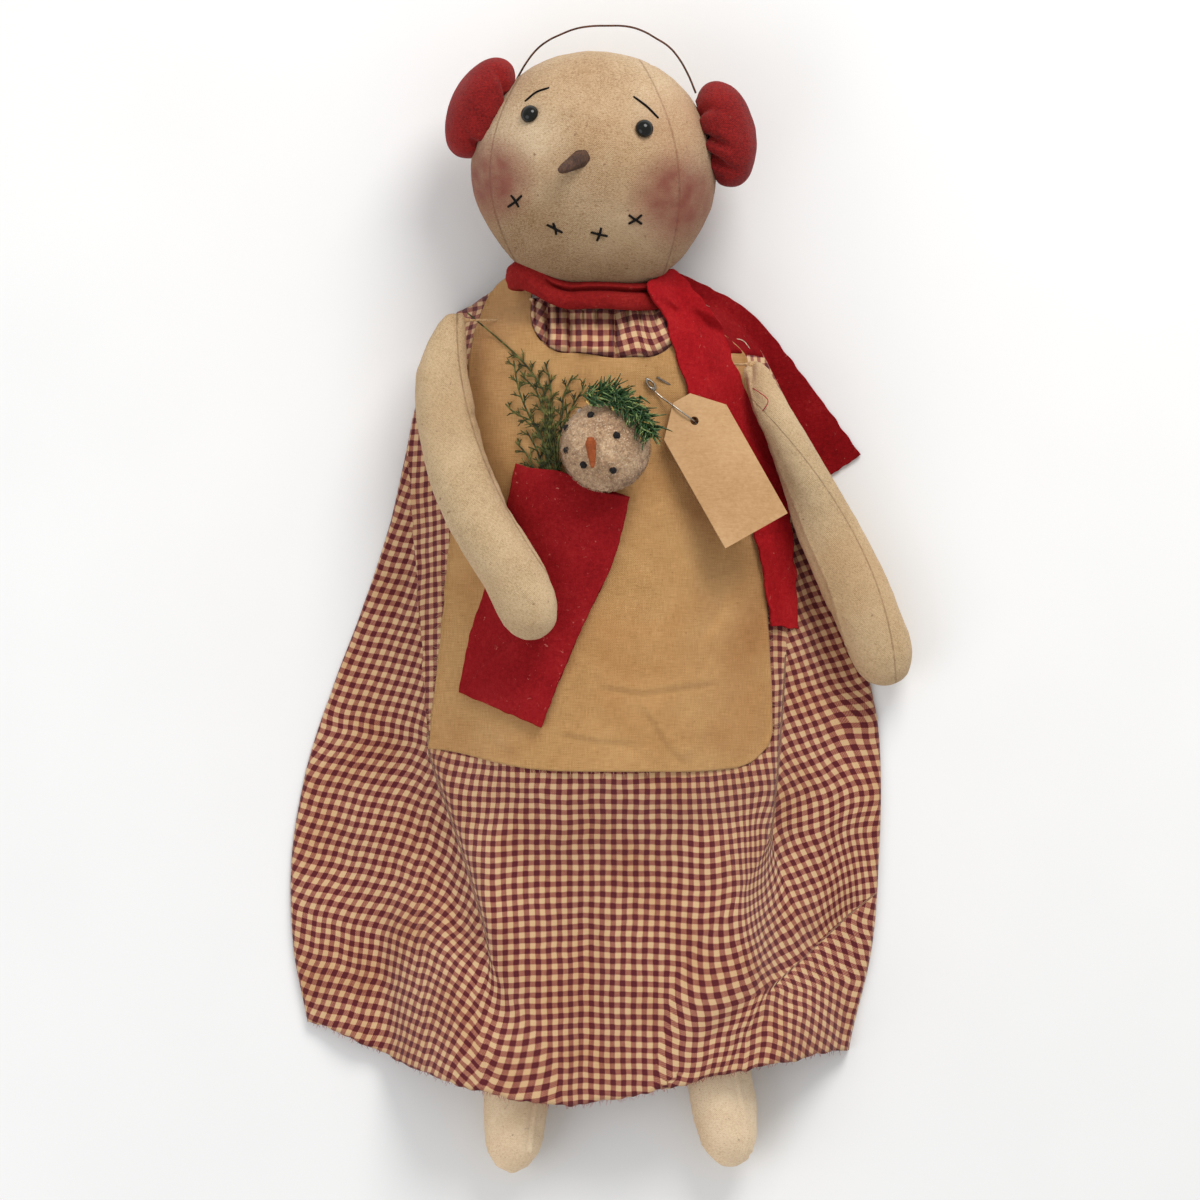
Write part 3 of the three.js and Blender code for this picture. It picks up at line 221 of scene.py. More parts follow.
def relief(*objects):
    # gives the highest surface at each point, in millimetres, with nan where there is none
    trees = [BVHTree.FromPolygons([v.co for v in each.data.vertices],
                                  [tuple(p.vertices) for p in each.data.polygons]) for each in objects]

    def heights(x, y):
        x, y = np.asarray(x, float), np.asarray(y, float)
        found = np.full(x.size, np.nan)
        for i, (across, up) in enumerate(zip(x.ravel() * mm, y.ravel() * mm)):
            for tree in trees:
                hit = tree.ray_cast(Vector((across, up, 1)), Vector((0, 0, -1)))[0]
                if hit is not None:
                    found[i] = np.fmax(found[i], hit.z / mm)
        return found.reshape(x.shape)

    return heights


def around(grid, edge):
    padded = np.pad(grid, 1, **edge)
    return np.stack([padded[1:-1, :-2], padded[1:-1, 2:], padded[:-2, 1:-1], padded[2:, 1:-1]])


def filled(grid):
    # gaps in a grid of heights take the mean of their neighbours
    while np.isnan(grid).any():
        beside = around(grid, {"constant_values": np.nan})
        counts = (~np.isnan(beside)).sum(axis=0)
        mean = np.nansum(beside, axis=0) / np.maximum(counts, 1)
        grid = np.where(np.isnan(grid) & (counts > 0), mean, grid)
    return grid


def softened(grid, passes):
    for _ in range(passes):
        grid = (4 * grid + around(grid, {"mode": "edge"}).sum(axis=0)) / 8
    return grid


def onTop(x, y, nodeNames, passes, inset=0.985):
    # heights of the frame's own solids, sampled a little inside their edge
    centreX = 0.5 * (x[:, :1] + x[:, -1:])
    centreY = 0.5 * (y[:1, :] + y[-1:, :])
    raw = relief(*[nodes[name] for name in nodeNames])(centreX + (x - centreX) * inset,
                                                       centreY + (y - centreY) * inset)
    return softened(filled(raw), passes)


def keptAbove(z, below, gap):
    # heights raised to clear what lies below, where anything does
    return np.where(np.isnan(below), z, np.maximum(z, below + gap))


def meshPiece(name, points, faces, uvLayers=None):
    mesh = bpy.data.meshes.new(name)
    mesh.from_pydata((points * mm).tolist(), [], faces)
    for key, values in (uvLayers or {}).items():
        mesh.uv_layers.new(name=key).data.foreach_set("uv", (values * mm).ravel())
    mesh.polygons.foreach_set("use_smooth", [True] * len(mesh.polygons))
    mesh.update()
    return added(name, mesh)


def gridFaces(rows, columns, closed=False, ringed=False):
    # the faces of a grid, with its last column joined to the first when closed and its last row when ringed
    i, j = np.meshgrid(np.arange(rows - (not ringed)), np.arange(columns - (not closed)), indexing="ij")
    p, q = (i + 1) % rows, (j + 1) % columns
    return np.stack([i * columns + j, p * columns + j, p * columns + q, i * columns + q], axis=-1).reshape(-1, 4)


def sheetMesh(name, x, y, z, thickness, uv=None, keep=None, closed=False, more=None):
    # a grid of cloth, its rows going down and its columns to the right, given its thickness below
    points = np.stack([x, y, z], axis=-1).reshape(-1, 3)
    faces = gridFaces(*x.shape, closed)
    if keep is not None:
        faces = faces[keep.ravel()[faces].sum(axis=1) > 0]
    layers = {"UVMap": np.stack([x, y], axis=-1) if uv is None else uv, **(more or {})}
    layers = {key: grid(faces) if callable(grid) else grid.reshape(-1, 2)[faces] for key, grid in layers.items()}
    used, faces = np.unique(faces, return_inverse=True)
    piece = meshPiece(name, points[used], faces.reshape(-1, 4).tolist(), layers)
    modified(piece, "SOLIDIFY", thickness=thickness * mm, offset=-1.0, use_rim=True)
    return piece


def strands(name, lines, radius, sides=3, tipShare=0.35):
    # thin tapered threads, each along its own line of points
    points, faces, base = [], [], 0
    angles = fullTurn * np.arange(sides)[:, None] / sides
    for line in lines:
        line = np.asarray(line, float)
        tangent = np.gradient(line, axis=0)
        tangent /= np.linalg.norm(tangent, axis=1)[:, None] + 1e-12
        across = np.cross(tangent, (0.31, 0.17, 0.93))
        across /= np.linalg.norm(across, axis=1)[:, None] + 1e-12
        other = np.cross(tangent, across)
        size = radius * np.linspace(1, tipShare, len(line))[:, None, None]
        rings = line[:, None] + size * (np.cos(angles) * across[:, None] + np.sin(angles) * other[:, None])
        points.append(rings.reshape(-1, 3))
        faces += (gridFaces(len(line), sides, True)[:, [0, 3, 2, 1]] + base).tolist()
        end = base + len(line) * sides
        faces += [list(range(base, base + sides))[::-1], list(range(end - sides, end))]
        base = end
    return meshPiece(name, np.concatenate(points), faces)


def wire(name, points, radius, sides):
    # a round wire or thread: a curve with its points moved into place, made a mesh
    pick()
    bpy.ops.curve.primitive_bezier_curve_add(enter_editmode=True)
    bpy.ops.curve.subdivide(number_cuts=len(points) - 2)
    bpy.ops.object.mode_set(mode="OBJECT")
    piece = bpy.context.object
    piece.name = name
    curve = piece.data
    curve.dimensions = "3D"
    for knot, point in zip(curve.splines[0].bezier_points, points):
        knot.handle_left_type = knot.handle_right_type = "AUTO"
        knot.co = Vector([float(c) for c in point]) * mm
    curve.bevel_depth = radius * mm
    curve.bevel_resolution = sides
    curve.use_fill_caps = True
    curve.resolution_u = 6
    bpy.ops.object.convert(target="MESH")
    return finished(bpy.context.object, 50)


def joined(name, pieces):
    pick(*pieces)
    bpy.ops.object.join()
    bpy.context.object.name = name
    return bpy.context.object


def formed(name, tool, reform, spot, aim=None, angle=None, cuts=0, **settings):
    # a primitive whose points are moved by reform, then aimed along a direction and put in its place
    pick()
    tool(**settings)
    piece = bpy.context.object
    piece.name = name
    if cuts:
        edited(piece, bpy.ops.mesh.subdivide, number_cuts=cuts)
    moveTo(piece, reform(read(piece)))
    if aim is not None:
        piece.rotation_euler = aim.to_track_quat("Z", "Y").to_euler()
    piece.location = Vector(spot) * mm
    return finished(piece, angle)


def frameCopy(name, nodeName):
    piece = added(name, nodes[nodeName].data.copy())
    edited(piece, bpy.ops.mesh.remove_doubles, threshold=1e-5)
    return piece


def stuffedPiece(name, nodeName, voxel, smoothing, pressure=0.0, cap=0.0, swell=0.0, levels=2):
    # the frame's form, remeshed, filled by a short cloth simulation and rounded
    piece = frameCopy(name, nodeName)
    piece.data.remesh_voxel_size = voxel * mm
    pick(piece)
    bpy.ops.object.voxel_remesh()
    modified(piece, "SMOOTH", factor=0.5, iterations=smoothing)
    if pressure:
        start = read(piece)
        cloth = piece.modifiers.new("stuffing", "CLOTH")
        values = {"quality": 5, "mass": 0.15, "use_pressure": True, "uniform_pressure_force": pressure,
                  "shrink_min": -swell, "bending_stiffness": 0.05}
        for key, value in values.items():
            setattr(cloth.settings, key, value)
        cloth.settings.effector_weights.gravity = 0
        for step in range(1, 21):
            bpy.context.scene.frame_set(step)
        move = read(piece.evaluated_get(bpy.context.evaluated_depsgraph_get())) - start
        piece.modifiers.remove(cloth)
        bpy.context.scene.frame_set(1)
        # no point moves further than the cap
        length = np.linalg.norm(move, axis=1)[:, None]
        moveTo(piece, start + move * np.minimum(1, cap / np.maximum(length, 1e-6)))
    modified(piece, "SUBSURF", levels=levels, render_levels=levels)
    return finished(piece)


class Signal:
    # one output socket of a material; each operator adds a Math node
    def __init__(self, finish, socket):
        self.finish, self.socket = finish, socket

    def __add__(self, other):
        return self.finish.maths("ADD", self, other)

    def __sub__(self, other):
        return self.finish.maths("SUBTRACT", self, other)

    def __rsub__(self, other):
        return self.finish.maths("SUBTRACT", other, self)

    def __mul__(self, other):
        return self.finish.maths("MULTIPLY", self, other)

    def __truediv__(self, other):
        return self.finish.maths("DIVIDE", self, other)


def tone(colour):
    # a colour as seen on a screen, 0 to 255, in Blender's linear values
    if isinstance(colour, Signal):
        return colour
    return tuple(((c / 255 + 0.055) / 1.055) ** 2.4 if c > 10 else c / 3294.6 for c in colour) + (1.0,)


class Finish:
    def __init__(self, name, layer=None):
        # the pattern follows the object, or a layer of cloth coordinates
        self.material = bpy.data.materials.new(name)
        self.material.use_nodes = True
        self.tree = self.material.node_tree
        self.tree.nodes.clear()
        self.place = self.uvPlace(layer) if layer else self.add("ShaderNodeTexCoord", result="Object")

    def add(self, kind, settings=None, sockets=None, result=0):
        node = self.tree.nodes.new(kind)
        for key, value in (settings or {}).items():
            setattr(node, key, value)
        for key, value in (sockets or {}).items():
            if isinstance(value, Signal):
                self.tree.links.new(value.socket, node.inputs[key])
            else:
                node.inputs[key].default_value = value
        return Signal(self, node.outputs[result]) if len(node.outputs) else node

    def maths(self, operation, *values):
        return self.add("ShaderNodeMath", {"operation": operation}, dict(enumerate(values)))

    def wave(self, value, pitch):
        return self.maths("SINE", value * (fullTurn / (pitch * mm)))

    def clamped(self, value):
        return self.add("ShaderNodeClamp", None, {0: value})

    def vector(self, operation, *values, result=0):
        return self.add("ShaderNodeVectorMath", {"operation": operation}, dict(enumerate(values)), result)

    def between(self, share, low, high, blend="MIX"):
        return self.add("ShaderNodeMix", {"data_type": "RGBA", "blend_type": blend},
                        {0: share, 6: tone(low), 7: tone(high)}, 2)

    def ramp(self, share, places, colours):
        result = self.add("ShaderNodeValToRGB", None, {0: share})
        marks = result.socket.node.color_ramp.elements
        marks.remove(marks[-1])
        marks[0].position, marks[0].color = places[0], tone(colours[0])
        for position, colour in zip(places[1:], colours[1:]):
            marks.new(position).color = tone(colour)
        return result

    def ranged(self, value, low, high, first, last):
        return self.add("ShaderNodeMapRange", None, {0: value, 1: low, 2: high, 3: first, 4: last})

    def uvPlace(self, layer):
        return self.add("ShaderNodeUVMap", {"uv_map": layer})

    def parts(self, vector):
        node = self.add("ShaderNodeSeparateXYZ", None, {0: vector}).socket.node
        return [Signal(self, socket) for socket in node.outputs]

    def noise(self, scale, detail=3.0, roughness=0.5, distortion=0.0, stretch=None, place=None):
        place = place or self.place
        if stretch:
            place = self.vector("MULTIPLY", place, stretch)
        return self.add("ShaderNodeTexNoise", None, {"Vector": place, "Scale": scale, "Detail": detail,
                                                     "Roughness": roughness, "Distortion": distortion})

    def above(self, value, level, softness):
        # 0 below a level and 1 above it
        return self.clamped((value - (level - softness)) / (2 * softness))

    def spotted(self, colour, noise, level, softness, share, spot, blend="MIX"):
        return self.between(self.above(self.noise(*noise), level, softness) * share, colour, spot, blend)

    def surface(self, colour, roughness, height=None, depth=0.0, more=None):
        sockets = {"Base Color": tone(colour), "Roughness": roughness, **(more or {})}
        if height is not None:
            sockets["Normal"] = self.add("ShaderNodeBump", None,
                                         {"Strength": 1.0, "Distance": depth * mm, "Height": height})
        self.add("ShaderNodeOutputMaterial", None,
                 {"Surface": self.add("ShaderNodeBsdfPrincipled", None, sockets)})
        return self.material


def plainWeave(finish, u, v, pitch):
    # over and under threads, 0 to 1
    return finish.wave(u, pitch) * finish.wave(v, pitch) * 0.5 + 0.5


def boxedWeave(finish, pitch):
    # the same weave on every side of a rounded piece
    waves = [finish.wave(axis, pitch) for axis in finish.parts(finish.place)]
    nx, ny, nz = finish.parts(finish.add("ShaderNodeNewGeometry", result="Normal"))
    total = nz * nz * (waves[0] * waves[1]) + ny * ny * (waves[0] * waves[2]) + nx * nx * (waves[1] * waves[2])
    return total * 0.5 + 0.5


def layered(name, layers, places, colours, roughness, depth, more=None, specks=None):
    # colour and relief from noises: each layer is a noise and its shares in the colour and in the relief;
    # roughness may be a slope and a base; specks are a noise, its level and softness, a share and a colour
    finish = Finish(name)
    value, height = None, None
    for noise, inColour, inHeight in layers:
        wave = finish.noise(*noise)
        value = wave * inColour if value is None else value + wave * inColour
        if inHeight:
            height = wave * inHeight if height is None else height + wave * inHeight
    colour = finish.ramp(value, places, colours)
    if specks:
        colour = finish.spotted(colour, *specks)
    if isinstance(roughness, tuple):
        roughness = value * roughness[0] + roughness[1]
    return finish.surface(colour, roughness, height, depth, more)


def checkCotton(name, panelled=False):
    finish = Finish(name, "UVMap")
    check = {"period": 6.0, "thread": 1.0, "wander": 0.0016, "sharpness": 2.6}
    place = finish.place
    if panelled:
        # panels of cloth meet in the folds, so the change of direction is a clean line there
        for share, layer in zip(finish.parts(finish.uvPlace("UVShare")), ("UVFlank", "UVCorner")):
            place = finish.add("ShaderNodeMix", {"data_type": "VECTOR"},
                               {0: share / mm * 0.5 + 0.5, 4: place, 5: finish.uvPlace(layer)}, 1)
    finish.place = place
    u, v, _ = finish.parts(place)
    u = u + (finish.noise(60, 2.0) - 0.5) * check["wander"]
    v = v + (finish.noise(75, 2.0, distortion=0.4) - 0.5) * check["wander"]
    stripes = [finish.clamped(finish.wave(axis, check["period"]) * check["sharpness"] + 0.5) for axis in (u, v)]
    weave = plainWeave(finish, u, v, check["thread"])
    slub = finish.noise(160, stretch=(1, 14, 1)) * 0.5 + finish.noise(160, stretch=(14, 1, 1)) * 0.5
    value = (stripes[0] + stripes[1]) * 0.5 + (weave - 0.5) * 0.3 + (slub - 0.5) * 0.55
    colour = finish.ramp(value, (0.04, 0.24, 0.46, 0.6, 0.82, 0.98),
                         ((216, 182, 138), (204, 160, 118), (164, 104, 84), (142, 74, 66), (106, 32, 38), (88, 20, 28)))
    colour = finish.spotted(colour, (26, 4.0), 0.6, 0.16, 0.5, (226, 196, 160), "MULTIPLY")
    return finish.surface(colour, finish.ranged(slub, 0.2, 0.8, 0.96, 0.82), weave * 0.6 + slub * 0.8, 0.28,
                          {"Specular IOR Level": 0.2, "Sheen Weight": 0.15, "Sheen Roughness": 0.6})


def apronCotton():
    finish = Finish("mustard_cotton_cloth", "UVMap")
    u, v, _ = finish.parts(finish.place)
    weave = plainWeave(finish, u, v, 1.0)
    streaks, columns = (finish.noise(140, stretch=stretch) for stretch in ((1, 16, 1), (16, 1, 1)))
    value = (streaks * 0.38 + columns * 0.32 + finish.noise(22, 4.0, 0.6) * 0.3 + (weave - 0.5) * 0.16
             + (finish.noise(900, 2.0) - 0.5) * 0.1)
    colour = finish.ramp(value, (0.3, 0.46, 0.56, 0.72),
                         ((156, 110, 64), (184, 140, 88), (196, 152, 100), (214, 174, 122)))
    colour = finish.spotted(colour, (420, 2.0), 0.72, 0.03, 0.5, (140, 92, 52))
    colour = finish.spotted(colour, (17,), 0.58, 0.14, 0.45, (216, 182, 146), "MULTIPLY")
    return finish.surface(colour, 0.93, weave * 0.7 + streaks * 0.6 + columns * 0.5, 0.3,
                          {"Specular IOR Level": 0.2, "Sheen Weight": 0.12})


def muslin(name, light, middle, dark, stains=0.4, slant=0.0, blush=(), paintedShadeBelow=None, seams=()):
    # slant turns the streaks; blush, the painted shade below and seams are in millimetres of the object
    finish = Finish(name)
    x, y, z = finish.parts(finish.place)
    weave = boxedWeave(finish, 1.05)
    turned = finish.add("ShaderNodeVectorRotate", {"rotation_type": "Z_AXIS"},
                        {"Vector": finish.place, "Angle": math.radians(slant)})
    streaks = finish.noise(240, 4.0, 0.6, stretch=(1, 6, 1), place=turned)
    upright = finish.noise(240, 4.0, 0.6, stretch=(6, 1, 1), place=turned)
    canvas = finish.noise(900, 2.0, 0.7, stretch=(1, 1.8, 1), place=turned)
    value = (streaks * 0.22 + upright * 0.16 + finish.noise(22, 5.0, 0.62) * 0.4 + (weave - 0.5) * 0.2
             + canvas * 0.72 + (finish.noise(900, 2.0) - 0.5) * 0.1 - 0.24)
    colour = finish.ramp(value, (0.32, 0.5, 0.66), (dark, middle, light))
    colour = finish.spotted(colour, (13, 3.0, 0.6), 0.56, 0.14, stains, (214, 184, 148), "MULTIPLY")
    colour = finish.spotted(colour, (260, 2.0), 0.73, 0.03, 0.6, (118, 84, 58))
    # painted shade: the colour is multiplied darker from high down to low, standing in for light from above; on the
    # head it is partly also staining
    if paintedShadeBelow:
        low, high, shade = paintedShadeBelow
        colour = finish.between(finish.clamped((high * mm - y) / ((high - low) * mm)), colour, shade, "MULTIPLY")
    height = weave * 0.5 + streaks * 0.5 + upright * 0.5 + canvas * 1.1
    for seamX, seamY, bend in seams:
        away = x - ((y - seamY * mm) * (y - seamY * mm) / (bend * mm) + seamX * mm)
        line = finish.clamped(1.0 - away * away / 3.6e-7) * finish.clamped(z * 200.0)
        colour = finish.between(line * finish.noise(300, 2.0) * 0.8, colour, (158, 122, 92), "MULTIPLY")
        height = height - line * 0.9
    flat = (1, 1, 0.25)
    for centre, radius, shade, strength in blush:
        away = finish.vector("DISTANCE", finish.vector("MULTIPLY", finish.place, flat),
                             tuple(c * mm * f for c, f in zip(centre, flat)), result="Value")
        mask = finish.clamped(1 - away / (radius * mm))
        mottled = finish.clamped(mask * 1.7) * (finish.noise(90, 4.0) * 0.9 + 0.5)
        colour = finish.between(mottled * strength, colour, shade)
    return finish.surface(colour, 0.92, height, 0.36, {"Specular IOR Level": 0.15, "Sheen Weight": 0.06})


def felt(name, dark, middle, light, lint):
    fluff, cloudy = (420, 5.0, 0.7, 0.6), (30,)
    fibres, others = ((240, 4.0, 0.7, 1.5, stretch) for stretch in ((1, 5, 3), (5, 1, 3)))
    return layered(name, [(fluff, 0.3, 0.7), (fibres, 0.25, 0.5), (others, 0.2, 0.5), (cloudy, 0.25, 0)],
                   (0.34, 0.5, 0.66), (dark, middle, light), 0.96, 0.35,
                   {"Specular IOR Level": 0.08, "Sheen Weight": 0.12, "Sheen Roughness": 0.5,
                    "Sheen Tint": tone(light)}, ((380, 3.0, 0.6, 0.8), 0.7, 0.03, lint, (206, 120, 108)))


def threadFinish(name, dark, light, sheen=0.3):
    return layered(name, [((1600,), 1, 1)], (0.35, 0.65), (dark, light), 0.85, 0.12,
                   {"Specular IOR Level": 0.15, "Sheen Weight": sheen})


def tinsel(name, dark, light, metallic):
    return layered(name, [((700,), 1, 1)], (0.35, 0.65), (dark, light), (0.3, 0.25), 0.08, {"Metallic": metallic})


def blackBead():
    finish = Finish("black_glass_bead")
    dust = finish.above(finish.noise(800), 0.62, 0.1)
    return finish.surface(finish.between(dust * 0.12, (9, 10, 8), (70, 70, 56)), dust * 0.18 + 0.09,
                          finish.noise(240, 2.0), 0.02,
                          {"Specular IOR Level": 0.28, "Coat Weight": 0.08, "Coat Roughness": 0.04})


def snowFleece():
    finish = Finish("glitter_snow_fleece")
    curls = finish.noise(480, 5.0, 0.7, 1.4)
    colour = finish.ramp(curls * 0.6 + finish.noise(60, 4.0) * 0.4, (0.34, 0.5, 0.64),
                         ((112, 82, 58), (168, 134, 102), (212, 182, 146)))
    flakes = finish.add("ShaderNodeTexVoronoi", None, {"Vector": finish.place, "Scale": 1900}, "Color")
    glint = finish.above(finish.parts(flakes)[0], 0.94, 0.02)
    return finish.surface(finish.between(glint * 0.5, colour, (246, 226, 196)), 0.94 - glint * 0.6, curls, 0.5,
                          {"Sheen Weight": 0.2, "Metallic": glint * 0.4})


def floorPaper():
    finish = Finish("pale_backdrop")
    return finish.surface(finish.ranged(finish.noise(8, 2.0), 0.3, 0.7, 0.86, 0.88), 0.95)


print("finishes")
dressCloth = checkCotton("check_cotton_dress", True)
checkCloth = checkCotton("check_cotton_cloth")
apronCloth = apronCotton()
# the head's painted shade darkens it toward the chin as if lit from above, with some staining there
headCloth = muslin("tea_stained_muslin", (211, 188, 157), (195, 168, 135), (158, 127, 94), 0.45,
                   blush=(((-60, 228, 92), 28, (130, 70, 60), 0.85), ((43, 217, 92), 31, (128, 70, 58), 0.85),
                          ((42, 258, 84), 26, (178, 130, 98), 0.35)),
                   paintedShadeBelow=(172, 250, (190, 178, 164)), seams=((43, 222, -235), (-59.5, 232, 170)))
paleCloth = muslin("pale_muslin_cloth", (210, 184, 148), (196, 169, 132), (166, 138, 102), 0.35, 32,
                   seams=((-77.5, 150, 374), (161, -50, -321)))
legCloth = muslin("tan_muslin_cloth", (244, 224, 194), (236, 210, 176), (208, 178, 140))
muffCloth = muslin("muff_red_cotton", (150, 36, 33), (130, 26, 25), (86, 13, 15), 0.0)
scarfCloth = felt("scarf_red_felt", (116, 12, 18), (158, 22, 28), (182, 42, 44), 0.35)
# the wrap's felt is a darker copy of the scarf felt: painted shade from the chin above it
wrapCloth = felt("scarf_wrap_felt", (92, 14, 15), (132, 26, 26), (158, 46, 40), 0.3)
darkScarfCloth = felt("scarf_shaded_felt", (92, 8, 12), (130, 15, 20), (154, 34, 36), 0.35)
stockingCloth = felt("stocking_red_felt", (102, 10, 15), (140, 22, 27), (162, 40, 42), 0.6)
orangeCloth = felt("orange_felt_cone", (112, 56, 32), (152, 80, 46), (180, 108, 66), 0.1)
blackThread = threadFinish("black_sewing_thread", (6, 5, 5), (22, 19, 17), 0.0)
whiteThread = threadFinish("pale_sewing_thread", (176, 158, 128), (228, 214, 188))
redThread = threadFinish("red_sewing_thread", (130, 18, 24), (190, 50, 52))
tanThread = threadFinish("tan_cotton_thread", (168, 128, 84), (218, 184, 138))
coalFinish = threadFinish("coal_dot_finish", (14, 12, 12), (44, 40, 40), 0.05)
tinselGreen = tinsel("green_tinsel_strips", (22, 50, 28), (62, 98, 50), 0.3)
# the pale strips stand partly for the tinsel's lighter tips and partly for painted highlights on it
tinselPale = tinsel("pale_green_tinsel_strips", (84, 116, 58), (164, 180, 116), 0.35)
tinselGold = tinsel("gold_tinsel_strips", (120, 84, 30), (226, 190, 110), 0.9)
beadGlass = blackBead()
fleeceFinish = snowFleece()
wireMetal = layered("rusty_wire_metal", [((900, 4.0, 0.7), 1, 1)], (0.35, 0.55, 0.7),
                    ((48, 30, 24), (92, 54, 38), (128, 84, 62)), (0.875, 0.1375), 0.08, {"Metallic": 0.6})
barkFinish = layered("rusted_twig_bark", [((110, 4.0, 0.6, 0.6, (1, 1, 2)), 0.6, 1),
                                          ((500, 4.0, 0.5, 0.0, (3, 1, 1)), 0.4, 0.6)], (0.34, 0.5, 0.68),
                     ((46, 32, 26), (76, 53, 42), (106, 74, 54)), 0.72, 0.12, {"Specular IOR Level": 0.3})
sprigFinish = layered("dried_evergreen", [((300, 4.0), 1, 1)], (0.35, 0.52, 0.68),
                      ((34, 38, 18), (70, 76, 34), (118, 118, 64)), 0.7, 0.15, {"Specular IOR Level": 0.3})
pinSteel = layered("pin_steel", [((500, 3.0, 0.5, 0.0, (6, 1, 1)), 1, 1)], (0.3, 0.7),
                   ((116, 108, 98), (178, 170, 158)), (0.25, 0.24), 0.02, {"Metallic": 1.0})
card = layered("kraft_card_stock", [((420, 5.0, 0.65), 0.3, 0.5), ((200, 4.0, 0.6, 1.0, (1, 6, 1)), 0.3, 1),
                                    ((28,), 0.4, 0)], (0.34, 0.5, 0.66),
               ((172, 132, 88), (190, 150, 106), (204, 166, 122)), 0.82, 0.07, {"Specular IOR Level": 0.3},
               ((520, 2.0, 0.5, 0.0, (1, 3, 1)), 0.72, 0.02, 0.5, (140, 98, 62)))
glueFinish = layered("clear_glue", [((500,), 1, 1)], (0.3, 0.7), ((196, 186, 172), (236, 232, 226)), (0.2, 0.08),
                     0.05, {"Transmission Weight": 0.6, "IOR": 1.45})


print("camera, light and floor")
view = {"height": 12000, "planeAt": 45, "frameWidth": 651.6, "sensor": 36}
lamps = {"key_lamp": ((0.7, 1.7, 1.5), 1.2, 34, (1, 0.985, 0.96)),
         "fill_lamp": ((-1.3, -0.6, 1.4), 1.6, 9, (0.96, 0.98, 1))}
scene = bpy.context.scene
scene.camera = added("photo_camera", bpy.data.cameras.new("photo_camera"))
scene.camera.data.sensor_width = view["sensor"]
scene.camera.data.lens = view["sensor"] * (view["height"] - view["planeAt"]) / view["frameWidth"]
scene.camera.data.clip_end = 50
scene.camera.location = (0, 0, view["height"] * mm)
scene.view_settings.view_transform = "Standard"
for name, (location, size, power, colour) in lamps.items():
    lamp = bpy.data.lights.new(name, "AREA")
    lamp.shape = "DISK"
    lamp.size, lamp.energy, lamp.color = size, power, colour
    holder = added(name, lamp)
    holder.location = location
    holder.rotation_euler = (-Vector(location)).to_track_quat("-Z", "Y").to_euler()
scene.world = bpy.data.worlds.new("studio_world")
scene.world.use_nodes = True
sky = scene.world.node_tree.nodes["Background"].inputs
sky["Color"].default_value, sky["Strength"].default_value = (1, 1, 1, 1), 0.62

floor = formed("pale_floor", bpy.ops.mesh.primitive_plane_add, lambda points: points, (0, 0, -0.4), size=12)
floor.data.materials.append(floorPaper())


print("dress")
# one tube of checked cotton, open at the neck and the hem
dressCut = {
    "left": [(160, -76), (150, -84), (135, -94), (100, -102), (43, -114), (0, -128), (-52, -147), (-92, -160),
             (-140, -168), (-190, -167), (-240, -158)],
    "right": [(160, 66), (150, 76), (135, 89), (100, 106), (43, 122), (0, 134), (-54, 149), (-92, 153),
              (-140, 152), (-190, 148), (-250, 135)],
    "hem": [(0, -230), (0.12, -245), (0.26, -262), (0.4, -272), (0.5, -274), (0.62, -268), (0.75, -259),
            (0.9, -250), (1, -245)],
    "top": [(0, 157), (0.1, 166), (0.16, 171), (0.2, 171), (0.25, 163), (0.5, 160), (0.7, 162), (0.86, 166), (1, 157)],
    "columns": 250, "rows": 150, "backColumns": 20, "thickness": 0.7, "backHeight": 0.55, "shoulder": 157,
    "waved": 0.48, "ragged": 0.45, "clear": 1.3, "lowest": 1.6, "squeeze": 11,
    # the folds are flatter in the middle, under the apron
    "middle": {"half": 92, "bottom": -84, "share": 0.25},
    "leftFold": [(-94, -70), (-93, -84), (-73, -143), (-63, -176), (-58, -206)],
    "rightFold": [(101, -30), (100, -50), (97, -90), (94, -122), (88, -165)],
    "cornerFold": [(150, -160), (135, -172), (112, -194), (88, -215), (66, -236), (46, -254)],
    # the point that the cloth of each flank and of the corner turns about, and by how much
    "leftTurn": ((-58, -232), 23), "rightTurn": ((94, -190), -27), "cornerTurn": ((52, -246), 9), "edgeTurn": 18,
}
# each fold of the dress: its line, depth, width, lip, reach, fade in, fade out and dip
dressFolds = [
    (dressCut["leftFold"], 2.4, 2.0, 5.0, 18, 0.05, 0.75, 4.0),
    (dressCut["rightFold"][::-1], 2.2, 2.0, 3.4, 14, 0.3, 0.85, 2.0),
    (dressCut["cornerFold"], 1.2, 2.2, 2.8, 18, 0.1, 0.75, 1.0),
    ([(-22, -94), (4, -104), (28, -100)], 1.2, 3.5, 1.2, 9, 0.2, 0.7),
    ([(-30, -118), (-12, -170), (-16, -240)], 0.9, 6, 0.8, 18, 0.2, 0.6),
    ([(40, -110), (46, -170), (34, -232)], 0.7, 6, 0.9, 16, 0.2, 0.6),
    ([(-118, -96), (-112, -150), (-120, -215)], 1.2, 5, 1.0, 14, 0.15, 0.7),
    ([(-140, -110), (-146, -170), (-138, -226)], 1.0, 5, 1.0, 12, 0.2, 0.7),
    ([(124, -60), (128, -110), (120, -160)], 1.3, 4.5, 1.2, 12, 0.2, 0.7),
    ([(110, -125), (96, -150), (100, -190)], 1.1, 5, 1.2, 12, 0.2, 0.7),
] + [([(x + 3, 80), (x, 30), (x - 12 - k, -40)], 1.1, 2.2, 0.9, 5, 0.3, 0.6)
     for k, x in enumerate([-83, -89, -95, -101])]


def cutEdges(cut):
    return [profile(cut[key]) for key in ("left", "right", "hem", "top")]


def turnedUv(uv, pivot, degrees):
    # the cloth of a flank, turned about a point; positive when its rows fall to the right
    s, c = math.sin(math.radians(degrees)), math.cos(math.radians(degrees))
    du, dv = uv[..., 0] - pivot[0], uv[..., 1] - pivot[1]
    return np.stack([pivot[0] + c * du - s * dv, pivot[1] + s * du + c * dv], axis=-1)


